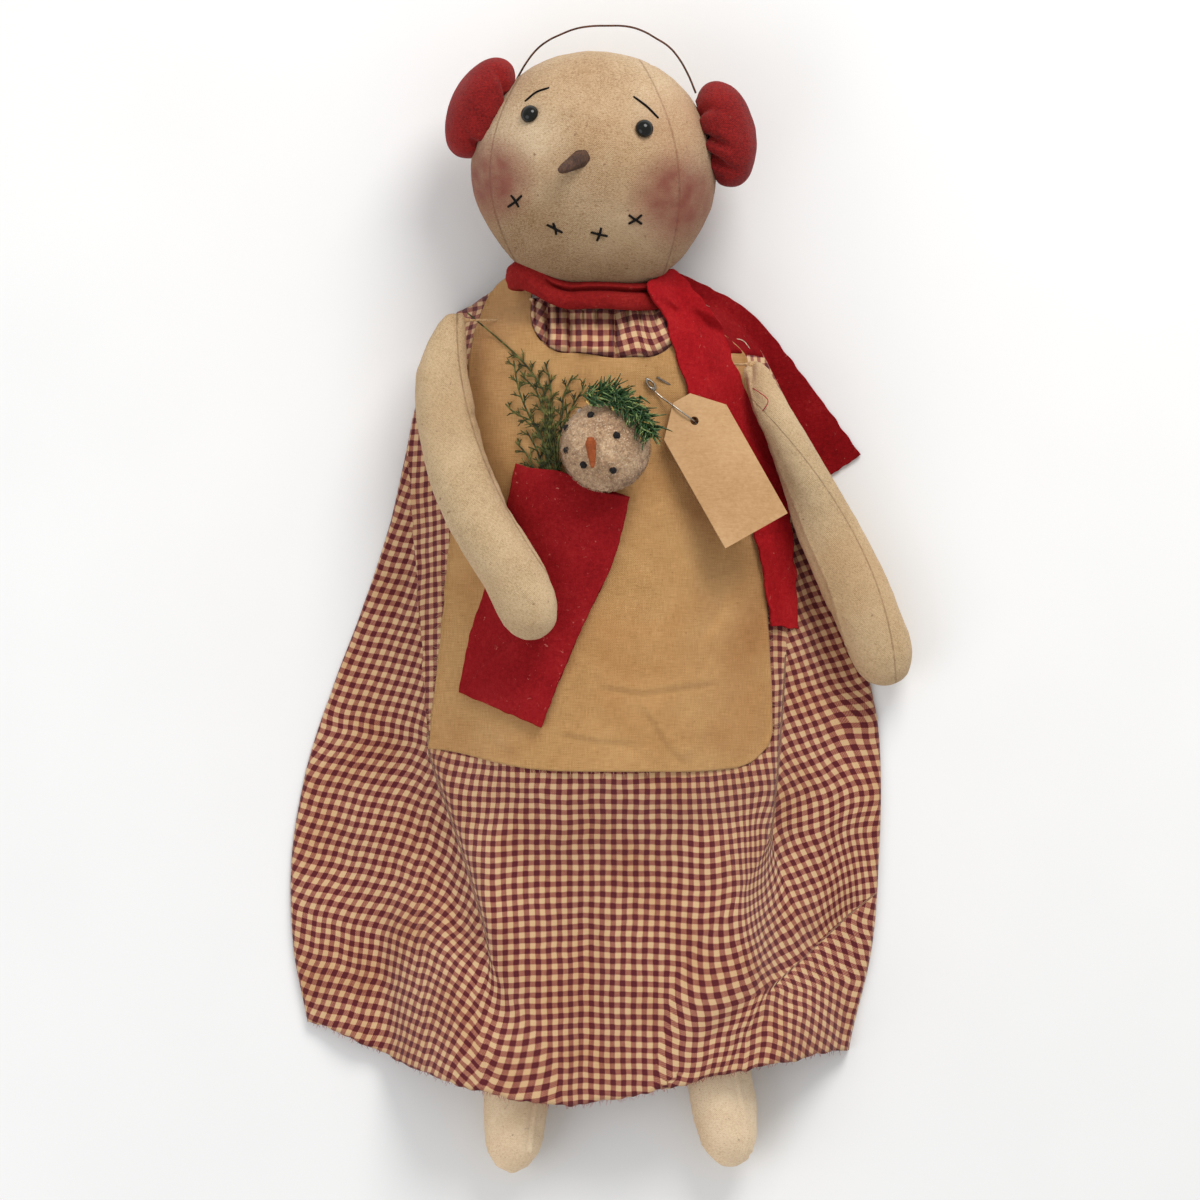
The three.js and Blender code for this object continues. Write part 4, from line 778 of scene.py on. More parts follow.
def makeDress():
    cut = dressCut
    left, right, hem, topAt = cutEdges(cut)
    u = np.linspace(0, 1, cut["columns"])[None, :]
    v = np.linspace(0, 1, cut["rows"])[:, None]
    raw = cut["waved"] * np.sin(u * 61) + cut["ragged"] * ripples(u * 300, u * 0, 9, 6, 12)
    top = topAt(u)
    y = top + (hem(u) + raw - top) * v
    x = left(y) + (right(y) - left(y)) * u
    z = onTop(x, np.minimum(y, cut["shoulder"]), ["bodice_front", "skirt_front"], 22)
    z = z - np.maximum(y - cut["shoulder"], 0)
    covered = (np.abs(x) < cut["middle"]["half"]) & (y > cut["middle"]["bottom"])
    edge = np.minimum(u, 1 - u) * (right(y) - left(y))
    folds = creases(x, y, dressFolds) + 0.55 * ripples(x, y, 46, 7, 3) + 0.22 * ripples(x, y, 17, 9, 5)
    folds = folds * np.where(covered, cut["middle"]["share"], 1.0) * smoothStep(2, 14, edge)
    body = relief(nodes["torso"], nodes["left_leg"], nodes["right_leg"])(x, y)
    z = softened(keptAbove(np.maximum(z + folds, cut["lowest"]), body, cut["clear"]), 2)
    z[:, 0] = z[:, -1] = 1.5
    # fabric coordinates grow with the slopes, so that the checks keep their size on the sides
    along = runningSum(np.hypot(np.diff(x, axis=1), np.diff(z, axis=1)), 1)
    middle = cut["columns"] // 2
    fabricU = along + (x - along)[:, middle:middle + 1]
    fabricV = top - runningSum(np.hypot(np.diff(y, axis=0), np.diff(z, axis=0)))
    squeezed = cut["squeeze"] * smoothStep(-100, -128, y) * (1 - smoothStep(-165, -215, y)) * smoothStep(74, 91, x)
    straight = np.stack([fabricU + squeezed, fabricV], axis=-1)
    # the flanks are gathered, so their checks are turned, with the change hidden in the folds
    leftAway = besideLine(x, y, cut["leftFold"] + [(-46, -280)])[0]
    leftShare = -leftAway / (0.5 + 26 * smoothStep(-190, -262, y))
    rightAway = besideLine(x, y, cut["rightFold"] + [(70, -230), (60, -280)])[0]
    rightShare = rightAway / (0.5 + 34 * smoothStep(-122, -210, y))
    turned = turnedUv(straight, *cut["rightTurn"])
    edgePivot = turnedUv(np.array([168.0, -100.0]), *cut["rightTurn"])
    edgeShare = (smoothStep(34, 2, edge) * smoothStep(60, 100, x) * smoothStep(-40, -70, y)
                 * (1 - smoothStep(-170, -200, y)))
    turned = turned + edgeShare[..., None] * (turnedUv(turned, edgePivot, cut["edgeTurn"]) - turned)
    flank = np.where(x[..., None] > 10, turned, turnedUv(straight, *cut["leftTurn"]))
    cornerAway, passed = besideLine(x, y, cut["cornerFold"])
    cornerShare = np.where(x > 30, cornerAway / (0.5 + 20 * smoothStep(0.5, 1, passed)), -9)
    corner = turnedUv(straight, *cut["cornerTurn"])
    shares = np.clip(np.stack([np.where(x > 10, rightShare, leftShare), cornerShare], axis=-1), -9, 9)
    # the back lies flat on the floor
    w = np.linspace(1, 0, cut["backColumns"])[None, :]
    backY = topAt(w) + (hem(w) + 2 - topAt(w)) * v
    backX = left(backY) + 0.4 + (right(backY) - left(backY) - 0.8) * w
    backZ = np.clip(cut["backHeight"] + 0.12 * ripples(backX, backY, 30, 5, 8), 0.2, 1.1)
    backUv = np.stack([fabricU[:, -1:] + (fabricU[:, -1:] - fabricU[:, :1]) * (1 - w), backY], axis=-1)
    x, y, z = (np.concatenate(pair, axis=1) for pair in ((x, backX), (y, backY), (z, backZ)))
    uv, flank, corner, shares = (np.concatenate(pair, axis=1) for pair in (
        (straight, backUv), (flank, backUv), (corner, backUv), (shares, np.full(backUv.shape, -9.0))))
    return sheetMesh("dress", x, y, z, cut["thickness"], uv, closed=True,
                     more={"UVFlank": flank, "UVCorner": corner, "UVShare": shares})


dress = place(makeDress(), "torso", dressCloth, "check_cotton", "bodice_front", "bodice_back", "skirt_front",
              "skirt_back", bend=("lap", (0, -0.075, 0.03), (0, -0.135, 0.03)))


print("apron")
apronCut = {
    "left": [(176, -57), (170, -59), (164, -61.5), (154, -65.5), (145, -69), (130, -71), (80, -77), (22, -83),
             (-40, -89), (-92, -94)],
    "right": [(166, 52), (150, 60), (143, 69), (136, 77), (131, 80.5), (115, 82), (80, 86), (-8, 91), (-66, 94),
              (-80, 92), (-92, 87)],
    "hem": [(0, -80), (0.2, -89), (0.4, -92.5), (0.7, -93), (0.93, -91), (0.97, -88), (1, -80)],
    "top": [(0, 167), (0.02, 171.5), (0.05, 175), (0.08, 175), (0.13, 172), (0.2, 168), (0.3, 162), (0.5, 160),
            (1, 160)],
    "columns": 150, "rows": 200, "thickness": 0.8, "shoulder": 156.5, "clear": 1.1, "waved": 0.8, "ragged": 0.4,
    "scoop": {"left": -37.5, "right": 44, "bottom": 134, "round": 20, "dip": 2.6},
    "folds": [([(-6, -47), (24, -51), (71, -44)], 1.0, 1.8, 2.6, 6, 0.2, 0.8),
              ([(-28, -72), (0, -77), (24, -79)], 0.8, 1.8, 2.0, 6, 0.2, 0.8),
              ([(22, -56), (30, -70), (38, -82), (47, -89)], 1.4, 2.2, 3.2, 8, 0.15, 0.9),
              ([(77, 14), (66, -8), (51, -29)], 0.9, 5, 2.6, 14, 0.3, 0.7),
              ([(-82, -58), (-64, -70), (-46, -86)], 1.0, 2.8, 2.4, 8, 0.2, 0.8),
              ([(50, 60), (42, 30), (44, 0)], 0.4, 6, 1.0, 14, 0.3, 0.7)],
}


def scoopDistance(x, y):
    # distance outside the neck opening, negative inside it
    scoop = apronCut["scoop"]
    dx = np.abs(x - 0.5 * (scoop["left"] + scoop["right"])) - 0.5 * (scoop["right"] - scoop["left"]) + scoop["round"]
    dy = scoop["bottom"] - scoop["dip"] * smoothStep(-22, 14, x) + scoop["round"] - y
    return np.hypot(np.maximum(dx, 0), np.maximum(dy, 0)) + np.minimum(np.maximum(dx, dy), 0) - scoop["round"]


def makeApron():
    cut = apronCut
    left, right, hem, topAt = cutEdges(cut)
    u = np.linspace(0, 1, cut["columns"])[None, :]
    v = np.linspace(0, 1, cut["rows"])[:, None]
    top = topAt(u)
    y = top + (hem(u) + cut["waved"] * ripples(u * 180, u * 0, 46, 4, 21) - top) * v
    x = left(y) + (right(y) - left(y)) * u
    ragged = cut["ragged"] * ripples(y, y * 0, 13, 6, 22)
    x = x + ragged * np.maximum(0, 1 - u / 0.02) + 0.4 * ragged * np.maximum(0, 1 - (1 - u) / 0.02)
    # points just inside the neck opening move onto its edge
    outside = scoopDistance(x, y) + 0.3 * ripples(x, y, 22, 5, 23)
    step = 0.4
    gradX = (scoopDistance(x + step, y) - scoopDistance(x - step, y)) / (2 * step)
    gradY = (scoopDistance(x, y + step) - scoopDistance(x, y - step)) / (2 * step)
    snap = (outside < 0) & (outside > -3)
    x, y = np.where(snap, x - outside * gradX, x), np.where(snap, y - outside * gradY, y)
    z = onTop(x, np.minimum(y, cut["shoulder"]), ["apron"], 14) - 0.7 * np.maximum(y - cut["shoulder"], 0)
    lift = creases(x, y, cut["folds"]) + 0.4 * ripples(x, y, 40, 7, 24) + 0.16 * ripples(x, y, 13, 9, 25) + 0.5
    z = z + lift * smoothStep(1, 12, np.minimum(u, 1 - u) * (right(y) - left(y)))
    z = softened(keptAbove(z, relief(dress)(x, y), cut["clear"]), 2)
    return sheetMesh("apron_cloth", x, y, z, cut["thickness"], keep=outside > 0)


apron = place(makeApron(), "torso", apronCloth, "apron_cotton", "apron")


print("neck ruffle")
# the gathered top of the dress, seen in the apron's opening
ruffleCut = {
    "left": -42, "right": 48, "top": 164, "bottom": 126, "columns": 220, "rows": 44, "thickness": 0.6,
    "gathers": [-28.5, -16.8, 8.1], "pleats": [-35, -22.5, -9, -2, 15, 22, 30, 36], "depth": 8.0, "swell": 5.0,
    # where each panel of checks starts, its turn, the point it turns about and how softly it starts
    "panels": [(-28.5, 0, -1, 0.6), (-16.8, 0, 2, 0.6), (8.1, -15, 8, 0.6), (25, -27, 25, 6)], "firstTurn": 30,
}


def makeRuffle():
    cut = ruffleCut
    x, y = np.meshgrid(np.linspace(cut["left"], cut["right"], cut["columns"]),
                       np.linspace(cut["top"], cut["bottom"], cut["rows"]))
    z = onTop(np.clip(x, -34, 39), np.clip(y, 136.5, 156.5), ["neck_ruffle"], 8, 0.98)
    upper = smoothStep(132, 150, y)
    edges = [cut["left"]] + cut["gathers"] + [cut["right"]]
    for left, right in zip(edges[:-1], edges[1:]):
        z = z + cut["swell"] * np.sin(math.pi * np.clip((x - left) / (right - left), 0, 1)) ** 0.6
    for k, gather in enumerate(cut["gathers"]):
        z = z - cut["depth"] * bell(x - gather + (y - 145) * 0.05 * (k - 1), 0.7 + 0.5 * upper)
    z = z - 1.3 * np.maximum(y - 156, 0)
    for pleat in cut["pleats"]:
        z = z - 3.5 * smoothStep(144, 154, y) * bell(x - pleat, 0.8)
    z = z + 0.7 * np.sin(x * 1.15) * upper + 0.3 * ripples(x, y, 12, 6, 31)
    under = filled(relief(dress)(x, y)) + 0.4
    z = np.maximum(z, under)
    z = z + (under - z) * smoothStep(-3.5, 0.5, scoopDistance(x, y))
    plain = np.stack([x, y], axis=-1)

    def clothCoordinates(faces):
        # a panel changes over sharply inside a gather and softly where the cloth is open
        result = turnedUv(plain, (-28, 138), cut["firstTurn"]).reshape(-1, 2)[faces]
        for k, (edge, angle, pivot, softness) in enumerate(cut["panels"]):
            other = turnedUv(plain, (pivot, 138), angle) + np.array([1.3 * k, 0.7 * k])
            mix = smoothStep(-softness, softness, x - edge).ravel()[faces]
            if softness < 1:
                mix[:] = (mix.mean(axis=1) > 0.5)[:, None]
            result = result + mix[..., None] * (other.reshape(-1, 2)[faces] - result)
        return result

    return sheetMesh("neck_ruffle_cloth", x, y, z, cut["thickness"], clothCoordinates)


ruffle = place(makeRuffle(), "torso", checkCloth, "check_cotton", "neck_ruffle")


print("stocking pocket")
# two layers of felt
pocketCut = {
    "left": [(-46, 74), (-52, 45), (-63, 5), (-71, -20), (-77, -50)],
    "right": [(16, 56), (8, 23), (-5, -5), (-16, -29), (-32, -69)],
    "columns": 90, "rows": 120, "thickness": 1.3, "ragged": 0.22,
    # what each side rests on, how far it is raised, the curve of its top and the seed of its waves
    "sides": {"pocket_back": ("apron_cloth", 0.1, -1.0, 41), "pocket_front": ("pocket_back_felt", 0.2, 3.0, 44)},
    "corner": ([(-40, -14), (-60, -32), (-77, -50)], 0.8, 1.5, 2.4, 12, 0.2, 0.98),
}


def bandSheet(cut, seed, bulge=0.0):
    # a patch between two edges, with slightly uneven cut edges
    u, v = np.linspace(0, 1, cut["columns"])[None, :], np.linspace(0, 1, cut["rows"])
    left, right = (throughPoints(cut[key])(v)[:, None] for key in ("left", "right"))
    x, y = np.moveaxis(left + (right - left) * u[..., None], -1, 0)
    y = y + bulge * np.sin(math.pi * u) * np.sin(fullTurn * (u - 0.12)) * (1 - v[:, None])
    side = np.clip(1 - np.minimum(u, 1 - u) / 0.06, 0, 1)
    ends = np.clip(1 - np.minimum(v, 1 - v)[:, None] / 0.05, 0, 1)
    x = x + cut["ragged"] * ripples(x, y, 8, 6, seed) * side
    return x, y + cut["ragged"] * ripples(x, y, 8, 6, seed + 1) * ends


for node, (under, raised, bulge, seed) in pocketCut["sides"].items():
    x, y = bandSheet(pocketCut, seed, bulge)
    z = onTop(x, y, [node], 6) + raised + 0.22 * ripples(x, y, 16, 7, seed + 2)
    if node == "pocket_front":
        z = z + crease(x, y, *pocketCut["corner"]) + 1.6 * bell(x + 66, 13) * bell(y + 56, 9)
    pocket = sheetMesh(f"{node}_felt", x, y, z, pocketCut["thickness"])
    place(pocket, "torso", stockingCloth, "pocket_felt", node)


print("scarf")
# two tails and the wrap round the neck
frontCut = {
    "left": [(26, 172), (29, 163), (36, 154), (39, 140), (50, 108), (68, 72), (84, 38), (94, -14)],
    "right": [(40, 180), (48, 172), (60, 157), (67, 146), (76, 122), (93, 80), (104, 44), (108, -16)],
    "columns": 50, "rows": 180, "thickness": 1.8, "ragged": 0.7,
    "fold": ([(74, 38), (88, 35), (106, 40)], 0.9, 2.4, 1.1, 6, 0.1, 0.9),
}
backCut = {
    "left": [(38, 180), (60, 170), (84, 155), (111, 122), (142, 79)],
    "right": [(38, 158), (60, 142), (79, 127), (98, 100), (124, 67)],
    "columns": 40, "rows": 150, "thickness": 1.8, "ragged": 0.35, "clear": 2.1,
}
wrapCut = {
    "turns": 220, "around": 56, "centre": (-6, 157.2, 47), "radii": (40.5, 30),
    "parted": [(-7, 3), (-2, 0.2), (2.5, 1), (4, 5), (2.6, 8.6), (-1.2, 9.8), (-3.2, 10.2), (-0.6, 11.6), (1, 12.8),
               (-3, 15), (-9, 16.2), (-14, 15), (-12, 9), (-7, 3)],
    "plain": [(-7, 3), (-2, 0.2), (2.5, 1), (4, 5), (4.4, 8), (4.2, 9.6), (4, 10.6), (3.4, 12), (1.8, 14),
              (-2, 16.4), (-8, 17.4), (-14, 16), (-12, 9), (-7, 3)],
}


def makeFrontTail():
    x, y = bandSheet(frontCut, 51)
    z = onTop(x, np.minimum(y, 164), ["scarf_front_tail"], 6, 0.97) - 14 * smoothStep(163, 178, y) ** 1.5
    z = z + 0.5 * ripples(x, y, 26, 7, 53) + crease(x, y, *frontCut["fold"])
    z = softened(keptAbove(z, relief(apron, dress)(x, y), frontCut["thickness"] + 0.2), 2)
    return sheetMesh("scarf_front_felt", x, y, z, frontCut["thickness"])


def makeBackTail():
    x, y = bandSheet(backCut, 55)
    z = onTop(x, y, ["scarf_back_tail"], 5, 0.97) + 0.4 * ripples(x, y, 24, 7, 57)
    over = keptAbove(z, relief(dress, apron)(x, y), backCut["clear"])
    z = np.maximum(softened(z + (over - z) * smoothStep(124, 136, y), 3), backCut["clear"])
    return sheetMesh("scarf_back_felt", x[:, ::-1], y[:, ::-1], z[:, ::-1], backCut["thickness"])


def makeWrap():
    # a folded band of felt round the neck; a dark slit parts its two rolls at the front
    a = np.linspace(0, fullTurn, wrapCut["turns"], endpoint=False)[:, None]
    shares = np.linspace(0, 1, wrapCut["around"], endpoint=False)
    parted, plain = (throughPoints(wrapCut[key])(shares) for key in ("parted", "plain"))
    slit = smoothStep(-0.8, -0.45, np.sin(a)) * (np.cos(a) > 0)
    outward, up = np.moveaxis(plain + slit[..., None] * (parted - plain), -1, 0)
    outward = outward + 0.35 * np.sin(7 * a + 2 * np.sin(2 * a)) + 0.2 * np.sin(15 * a + up)
    centre, radii = wrapCut["centre"], wrapCut["radii"]
    points = np.stack([centre[0] + (radii[0] + outward) * np.sin(a),
                       centre[1] + up + 11 * smoothStep(0.2, 1, -np.sin(a)) + 0.5 * np.sin(5 * a + 1),
                       centre[2] + (radii[1] + outward) * np.cos(a)], axis=-1).reshape(-1, 3)
    piece = meshPiece("scarf_wrap_felt", points, gridFaces(len(a), len(shares), True, True).tolist())
    edited(piece, bpy.ops.mesh.normals_make_consistent, inside=False)
    return piece


frontTail = place(makeFrontTail(), "torso", scarfCloth, "scarf_felt", "scarf_front_tail",
                  bend=("neck", (0.05, 0.148, 0.06), (0.05, 0.176, 0.06)))
backTail = place(makeBackTail(), "torso", darkScarfCloth, "scarf_felt", "scarf_back_tail",
                 bend=("neck", (0.05, 0.148, 0.03), (0.05, 0.176, 0.03)))
wrap = place(makeWrap(), "torso", wrapCloth, "scarf_felt", "scarf_wrap")


print("stuffed body")
headCut = {
    "stuffing": (4.0, 16, 4.0, 2.0, 0.02), "eyes": [(-38, 264), (24, 256)],
    "seams": [([(25, 300), (37, 264), (42, 225), (41, 199), (36, 176)], 0.6),
              ([(-60, 262), (-61, 225), (-49, 186)], 0.3)],
}
# body, cloth, slot, seam, seed, shift of the foot or hand, and hollows as middle, width, height and depth
limbCuts = {
    "left_arm": (paleCloth, "pale_muslin",
                 [(-64, 150), (-61, 118), (-64, 92), (-54, 60), (-37, 28), (-24, 5), (-23, -8)], 71, 0,
                 [(-68, 100, 5, 3, 1.0), (-80, 148, 3, 8, 1.6)]),
    "right_arm": (paleCloth, "pale_muslin", [(82, 122), (88, 96), (100, 66), (112, 36), (126, 4), (134, -24)], 74, 0,
                  [(84.5, 122, 2.6, 7, 3.0), (92, 118, 3, 5, -0.8)]),
    "left_leg": (legCloth, "muslin", [(-18, -120), (-22, -200), (-36, -300)], 77, -1.8, []),
    "right_leg": (legCloth, "muslin", [(46, -120), (62, -200), (80, -300)], 80, 2.4, []),
}
limbStuffing = (4.0, 10, 4.0, 1.4, 0.02)


def pushedOut(piece, lift):
    # the points of a piece, each moved along its normal
    return read(piece) + read(piece, "normal", 1) * lift[:, None]


def makeHead():
    head = stuffedPiece("head_cloth", "head", *headCut["stuffing"])
    points = read(head)
    x, y, z = points.T
    front = smoothStep(30, 60, z)
    lift = 0.3 * ripples3(points, 34, 8, 61) + 0.07 * ripples3(points, 11, 10, 62)
    for line, deep in headCut["seams"]:
        signed, share = besideLine(x, y, line)
        lift = lift - deep * (0.75 + 0.25 * np.sin(share * 190)) * bell(signed, 1.1) * front
    # the cloth is pulled in a little round the eyes
    for eyeX, eyeY in headCut["eyes"]:
        lift = lift - 0.8 * bell(np.hypot(x - eyeX, y - eyeY), 6.5) * front
    moved = pushedOut(head, lift)
    moved[:, 1] -= 6.0 * smoothStep(208, 178, y) + 1.8 * smoothStep(225, 290, y)
    moved[:, 2] = np.maximum(moved[:, 2], 0.0)
    moveTo(head, moved)
    return head


def makeLimb(node, seam, seed, shift, hollows):
    limb = stuffedPiece(f"{node}_cloth", node, *limbStuffing)
    points = read(limb)
    x, y = points.T[:2]
    lift = 0.22 * ripples3(points, 30, 8, seed) + 0.05 * ripples3(points, 9, 10, seed + 1)
    signed, share = besideLine(x, y, seam)
    front = smoothStep(-0.4, 0.1, read(limb, "normal", 1)[:, 2])
    lift = lift + front * (0.55 * bell(signed, 0.9) - 0.5 * bell(signed + 2.2, 1.2))
    lift = lift + 0.1 * np.sin(share * 120) * bell(signed, 4)
    for middleX, middleY, width, height, deep in hollows:
        lift = lift - deep * bell(x - middleX, width) * bell(y - middleY, height) * front
    moved = pushedOut(limb, lift)
    moved[:, 0] += shift * smoothStep(-150, -280, y)
    if node == "left_arm":
        moved[:, :2] += np.outer(smoothStep(122, 150, y), (4.0, 7.5)) + np.outer(smoothStep(45, 0, y), (3.0, -1.2))
    if node == "right_arm":
        moved[:, 0] -= 3.0 * smoothStep(84, 116, y)
        moved[:, 1] += 5.0 * smoothStep(96, 124, y)
    moved[:, 2] = np.maximum(moved[:, 2], 0.3)
    moveTo(limb, moved)
    return limb


head = place(makeHead(), "head", headCloth, "muslin", "head")
for node, fill, stuffing in (("neck", 0.8, (4.0, 8)), ("torso", 0.7, (5.0, 6))):
    piece = place(stuffedPiece(f"{node}_cloth", node, *stuffing, levels=1), node, headCloth, "muslin", node)
limbs = {}
for node, (cloth, slotName, *shape) in limbCuts.items():
    limbs[node] = place(makeLimb(node, *shape), node, cloth, slotName, node)


print("earmuffs")
# middle, the way the muff faces, seed and shift
muffCuts = {"left_earmuff": ((-66, 266, 52.5), 155, 83, (2.2, 0.6, 0)),
            "right_earmuff": ((67, 252, 52.5), 10, 85, (0, 0.6, 0))}
muffShape = {"stuffing": (3.0, 8, 5.0, 2.0, 0.03), "puckers": 9, "deep": 4.5, "width": 0.13, "half": 17}
bandPoints = [(-46, 281, 53.5), (-40, 291.5, 53.3), (-34, 299, 53.8), (-28, 303.6, 53.4), (-21, 307, 53.3),
              (-15, 309.4, 53.7), (-8, 311, 53.5), (4, 311.6, 53.2), (16, 311, 53.7), (24, 308.4, 53.4),
              (30, 305, 53.5), (37, 300.5, 53.3), (42, 295, 53.7), (47.6, 285.5, 53.5), (52, 275, 53.5)]

for node, (centre, outward, seed, shift) in muffCuts.items():
    muff = stuffedPiece(f"{node}_cloth", node, *muffShape["stuffing"])
    points = read(muff)
    angle = math.radians(outward)
    offset = points - np.array(centre)
    height = offset @ (math.cos(angle), math.sin(angle), 0) / muffShape["half"]
    turn = np.arctan2(offset[:, 2], offset @ (-math.sin(angle), math.cos(angle), 0))
    dice = np.random.default_rng(seed)
    lift = 0.25 * ripples3(points, 18, 7, seed)
    for start in dice.uniform(-math.pi, math.pi, muffShape["puckers"]):
        gap = np.angle(np.exp(1j * (turn - start - 0.4 * height)))
        deep = muffShape["deep"] * dice.uniform(0.4, 1)
        lift = lift - deep * bell(gap, muffShape["width"]) * smoothStep(0.65, -0.6, height)
    moveTo(muff, pushedOut(muff, lift) + 0.02 * offset + np.array(shift))
    place(muff, "head", muffCloth, "muff_cotton", node)
place(wire("headband_rusty_wire", bandPoints, 0.55, 3), "headband", wireMetal, "rusty_wire", "headband_wire")


print("face")
faceCut = {
    "eyes": {"left_eye": (-38, 264), "right_eye": (24, 256)}, "eyeRadius": 5.0, "sunk": 1.2,
    "brows": {"left_brow": [(-40.5, 271), (-34.5, 276), (-27.5, 278.3)],
              "right_brow": [(18, 273.5), (25.5, 268), (31.5, 261.8)]},
    # middle of each cross stitch, and the turn and length of its two strokes
    "mouth": [(-46, 217, 39, 9.6, -57, 7.6), (-24.5, 202, -27, 9.3, 105, 6.3), (-0.5, 199, -13, 9.1, 72, 7.3),
              (19, 207, 34, 8.4, -34, 8.4)],
}
noseCut = {"base": 5.1, "tip": 2.3, "length": 25, "root": (-9, 240.5, -3.5), "aim": (-11.8, -7.2, 18.5)}


def pointOn(heights, x, y, lift):
    return np.array([x, y, heights([x], [y])[0] + lift])


faceHeights = relief(head)


def onFace(x, y, lift=0.0):
    # a little lower than drawn, because the camera sees raised points higher
    return pointOn(faceHeights, x, y - faceCut["sunk"], lift)


def beadForm(points):
    # flat underneath, where it is sewn on
    points[points[:, 2] < 0, 2] *= 0.45
    points[:, 2] *= 0.86
    return points


for node, (x, y) in faceCut["eyes"].items():
    slopeX = (onFace(x + 3, y)[2] - onFace(x - 3, y)[2]) / 6
    slopeY = (onFace(x, y + 3)[2] - onFace(x, y - 3)[2]) / 6
    bead = formed(f"{node}_bead", bpy.ops.mesh.primitive_uv_sphere_add, beadForm, onFace(x, y, 1.6),
                  Vector((-slopeX, -slopeY, 1)).normalized(), segments=40, ring_count=20,
                  radius=faceCut["eyeRadius"] * mm)
    place(bead, "head", beadGlass, "black_bead", node)


def laidStitch(name, points, count, radius, lift, dip):
    # a laid thread that dips into the cloth at both ends
    line = throughPoints(points, count)
    laid = [onFace(*p, lift * math.sin(math.pi * s) ** 0.6 - dip) for p, s in zip(line, np.linspace(0, 1, count))]
    return wire(name, laid, radius, 2)


for node, points in faceCut["brows"].items():
    place(laidStitch(f"{node}_thread", points, 7, 0.65, 0.55, 0.2), "head", blackThread, "black_thread", node)
for number, (x, y, *strokes) in enumerate(faceCut["mouth"], 1):
    cross = []
    for turn, length, over in ((*strokes[:2], 0.9), (*strokes[2:], 0.5)):
        dx, dy = 0.5 * length * math.cos(math.radians(turn)), 0.5 * length * math.sin(math.radians(turn))
        cross.append(laidStitch("stroke", [(x - dx, y - dy), (x + 0.3, y - 0.3), (x + dx, y + dy)], 5, 0.66, over,
                                0.15))
    place(joined(f"mouth_thread_{number}", cross), "head", blackThread, "black_thread", f"mouth_stitch_{number}")


def noseForm(points):
    # a short piece of smooth twig, with a rounded end and faint whittled sides
    share = np.clip(points[:, 2] / noseCut["length"] + 0.5, 0, 1)
    radius = np.hypot(points[:, 0], points[:, 1]) + 1e-6
    angle = np.arctan2(points[:, 1], points[:, 0])
    swell = 1 + 0.03 * np.cos(6 * angle + 1.5 * share) + 0.02 * np.sin(2 * angle + 6 * share)
    points[:, :2] *= (swell - 0.16 * smoothStep(0.86, 1, share))[:, None]
    points[:, 2] -= np.where(share > 0.97, 1.2 * (radius / noseCut["tip"]) ** 2, 0)
    return points


aim = Vector(noseCut["aim"]).normalized()
nose = formed("twig_nose", bpy.ops.mesh.primitive_cone_add, noseForm,
              Vector(onFace(*noseCut["root"])) + 0.5 * noseCut["length"] * aim, aim, 50, 5, vertices=32,
              radius1=noseCut["base"] * mm, radius2=noseCut["tip"] * mm, depth=noseCut["length"] * mm,
              end_fill_type="TRIFAN")
place(nose, "head", barkFinish, "twig", "nose")


print("snow ball")
ballCut = {
    "stuffing": (2.5, 6), "centre": (3, 83, 89.7), "radii": (24.5, 24.5, 19.0), "curls": 1500,
    "coal": [(-5, 100), (9, 89), (-18, 93), (-18, 81), (-9, 73), (7, 70)], "coalRadius": 2.0,
    "nose": {"base": 3.5, "tip": 0.8, "length": 16.5, "root": (-5, 87.5, 1.2), "tipAt": (-4, 71, 111), "out": 8},
    "crown": [(-5, 109.5), (0, 111), (8, 110.5), (15, 106), (21, 100), (24.5, 94.5), (25.5, 91.5)],
    "crownTop": 107, "spread": 2.4,
}
ball = stuffedPiece("snow_ball_fleece", "snow_ball", *ballCut["stuffing"])
moveTo(ball, pushedOut(ball, 0.22 * ripples3(read(ball), 7, 12, 91) + 0.2 * ripples3(read(ball), 2.6, 16, 92)))
place(ball, "torso", fleeceFinish, "snow_fleece", "snow_ball")
ballHeights = relief(ball)

# small curls of fibre stand on the ball
dice = np.random.default_rng(93)
lines = []
for _ in range(ballCut["curls"]):
    direction = dice.normal(size=3)
    direction[2] = abs(direction[2]) * 0.8 - 0.25
    direction /= np.linalg.norm(direction)
    root = np.array(ballCut["centre"]) + direction * np.array(ballCut["radii"]) * 0.985
    side = np.cross(direction, dice.normal(size=3))
    side /= np.linalg.norm(side)
    size = dice.uniform(0.4, 1.0)
    turns = np.linspace(0, math.pi * dice.uniform(0.8, 1.5), 6)
    lines.append([root + size * (side * (1 - math.cos(t)) * 0.8 + direction * math.sin(t)) for t in turns])
place(strands("snow_ball_curls", lines, 0.12, 3, 0.6), "torso", fleeceFinish, "snow_fleece")


def lump(name, x, y, radius):
    def uneven(points):
        points *= (1 + 0.08 * ripples3(points, 2.4, 6, 94 + int(x)))[:, None]
        return points * (1, 1, 0.7)

    return formed(name, bpy.ops.mesh.primitive_ico_sphere_add, uneven, pointOn(ballHeights, x, y, 0.5),
                  subdivisions=3, radius=radius * mm)


for number, (x, y) in enumerate(ballCut["coal"], 1):
    place(lump(f"coal_bead_{number}", x, y, ballCut["coalRadius"]), "torso", coalFinish, "black_bead",
          f"coal_dot_{number}")
place(lump("glue_drop", -11, 102, 1.5), "torso", glueFinish, "snow_fleece")


def carrotForm(points):
    along = points[:, 2]
    angle = np.arctan2(points[:, 1], points[:, 0])
    swell = 1 + 0.1 * np.sin(2 * angle + along * 0.4) + 0.06 * np.sin(along * 1.7 + angle)
    points[:, :2] *= (swell * (1.12 - 0.62 * smoothStep(-6.2, -8.3, along)))[:, None]
    return points


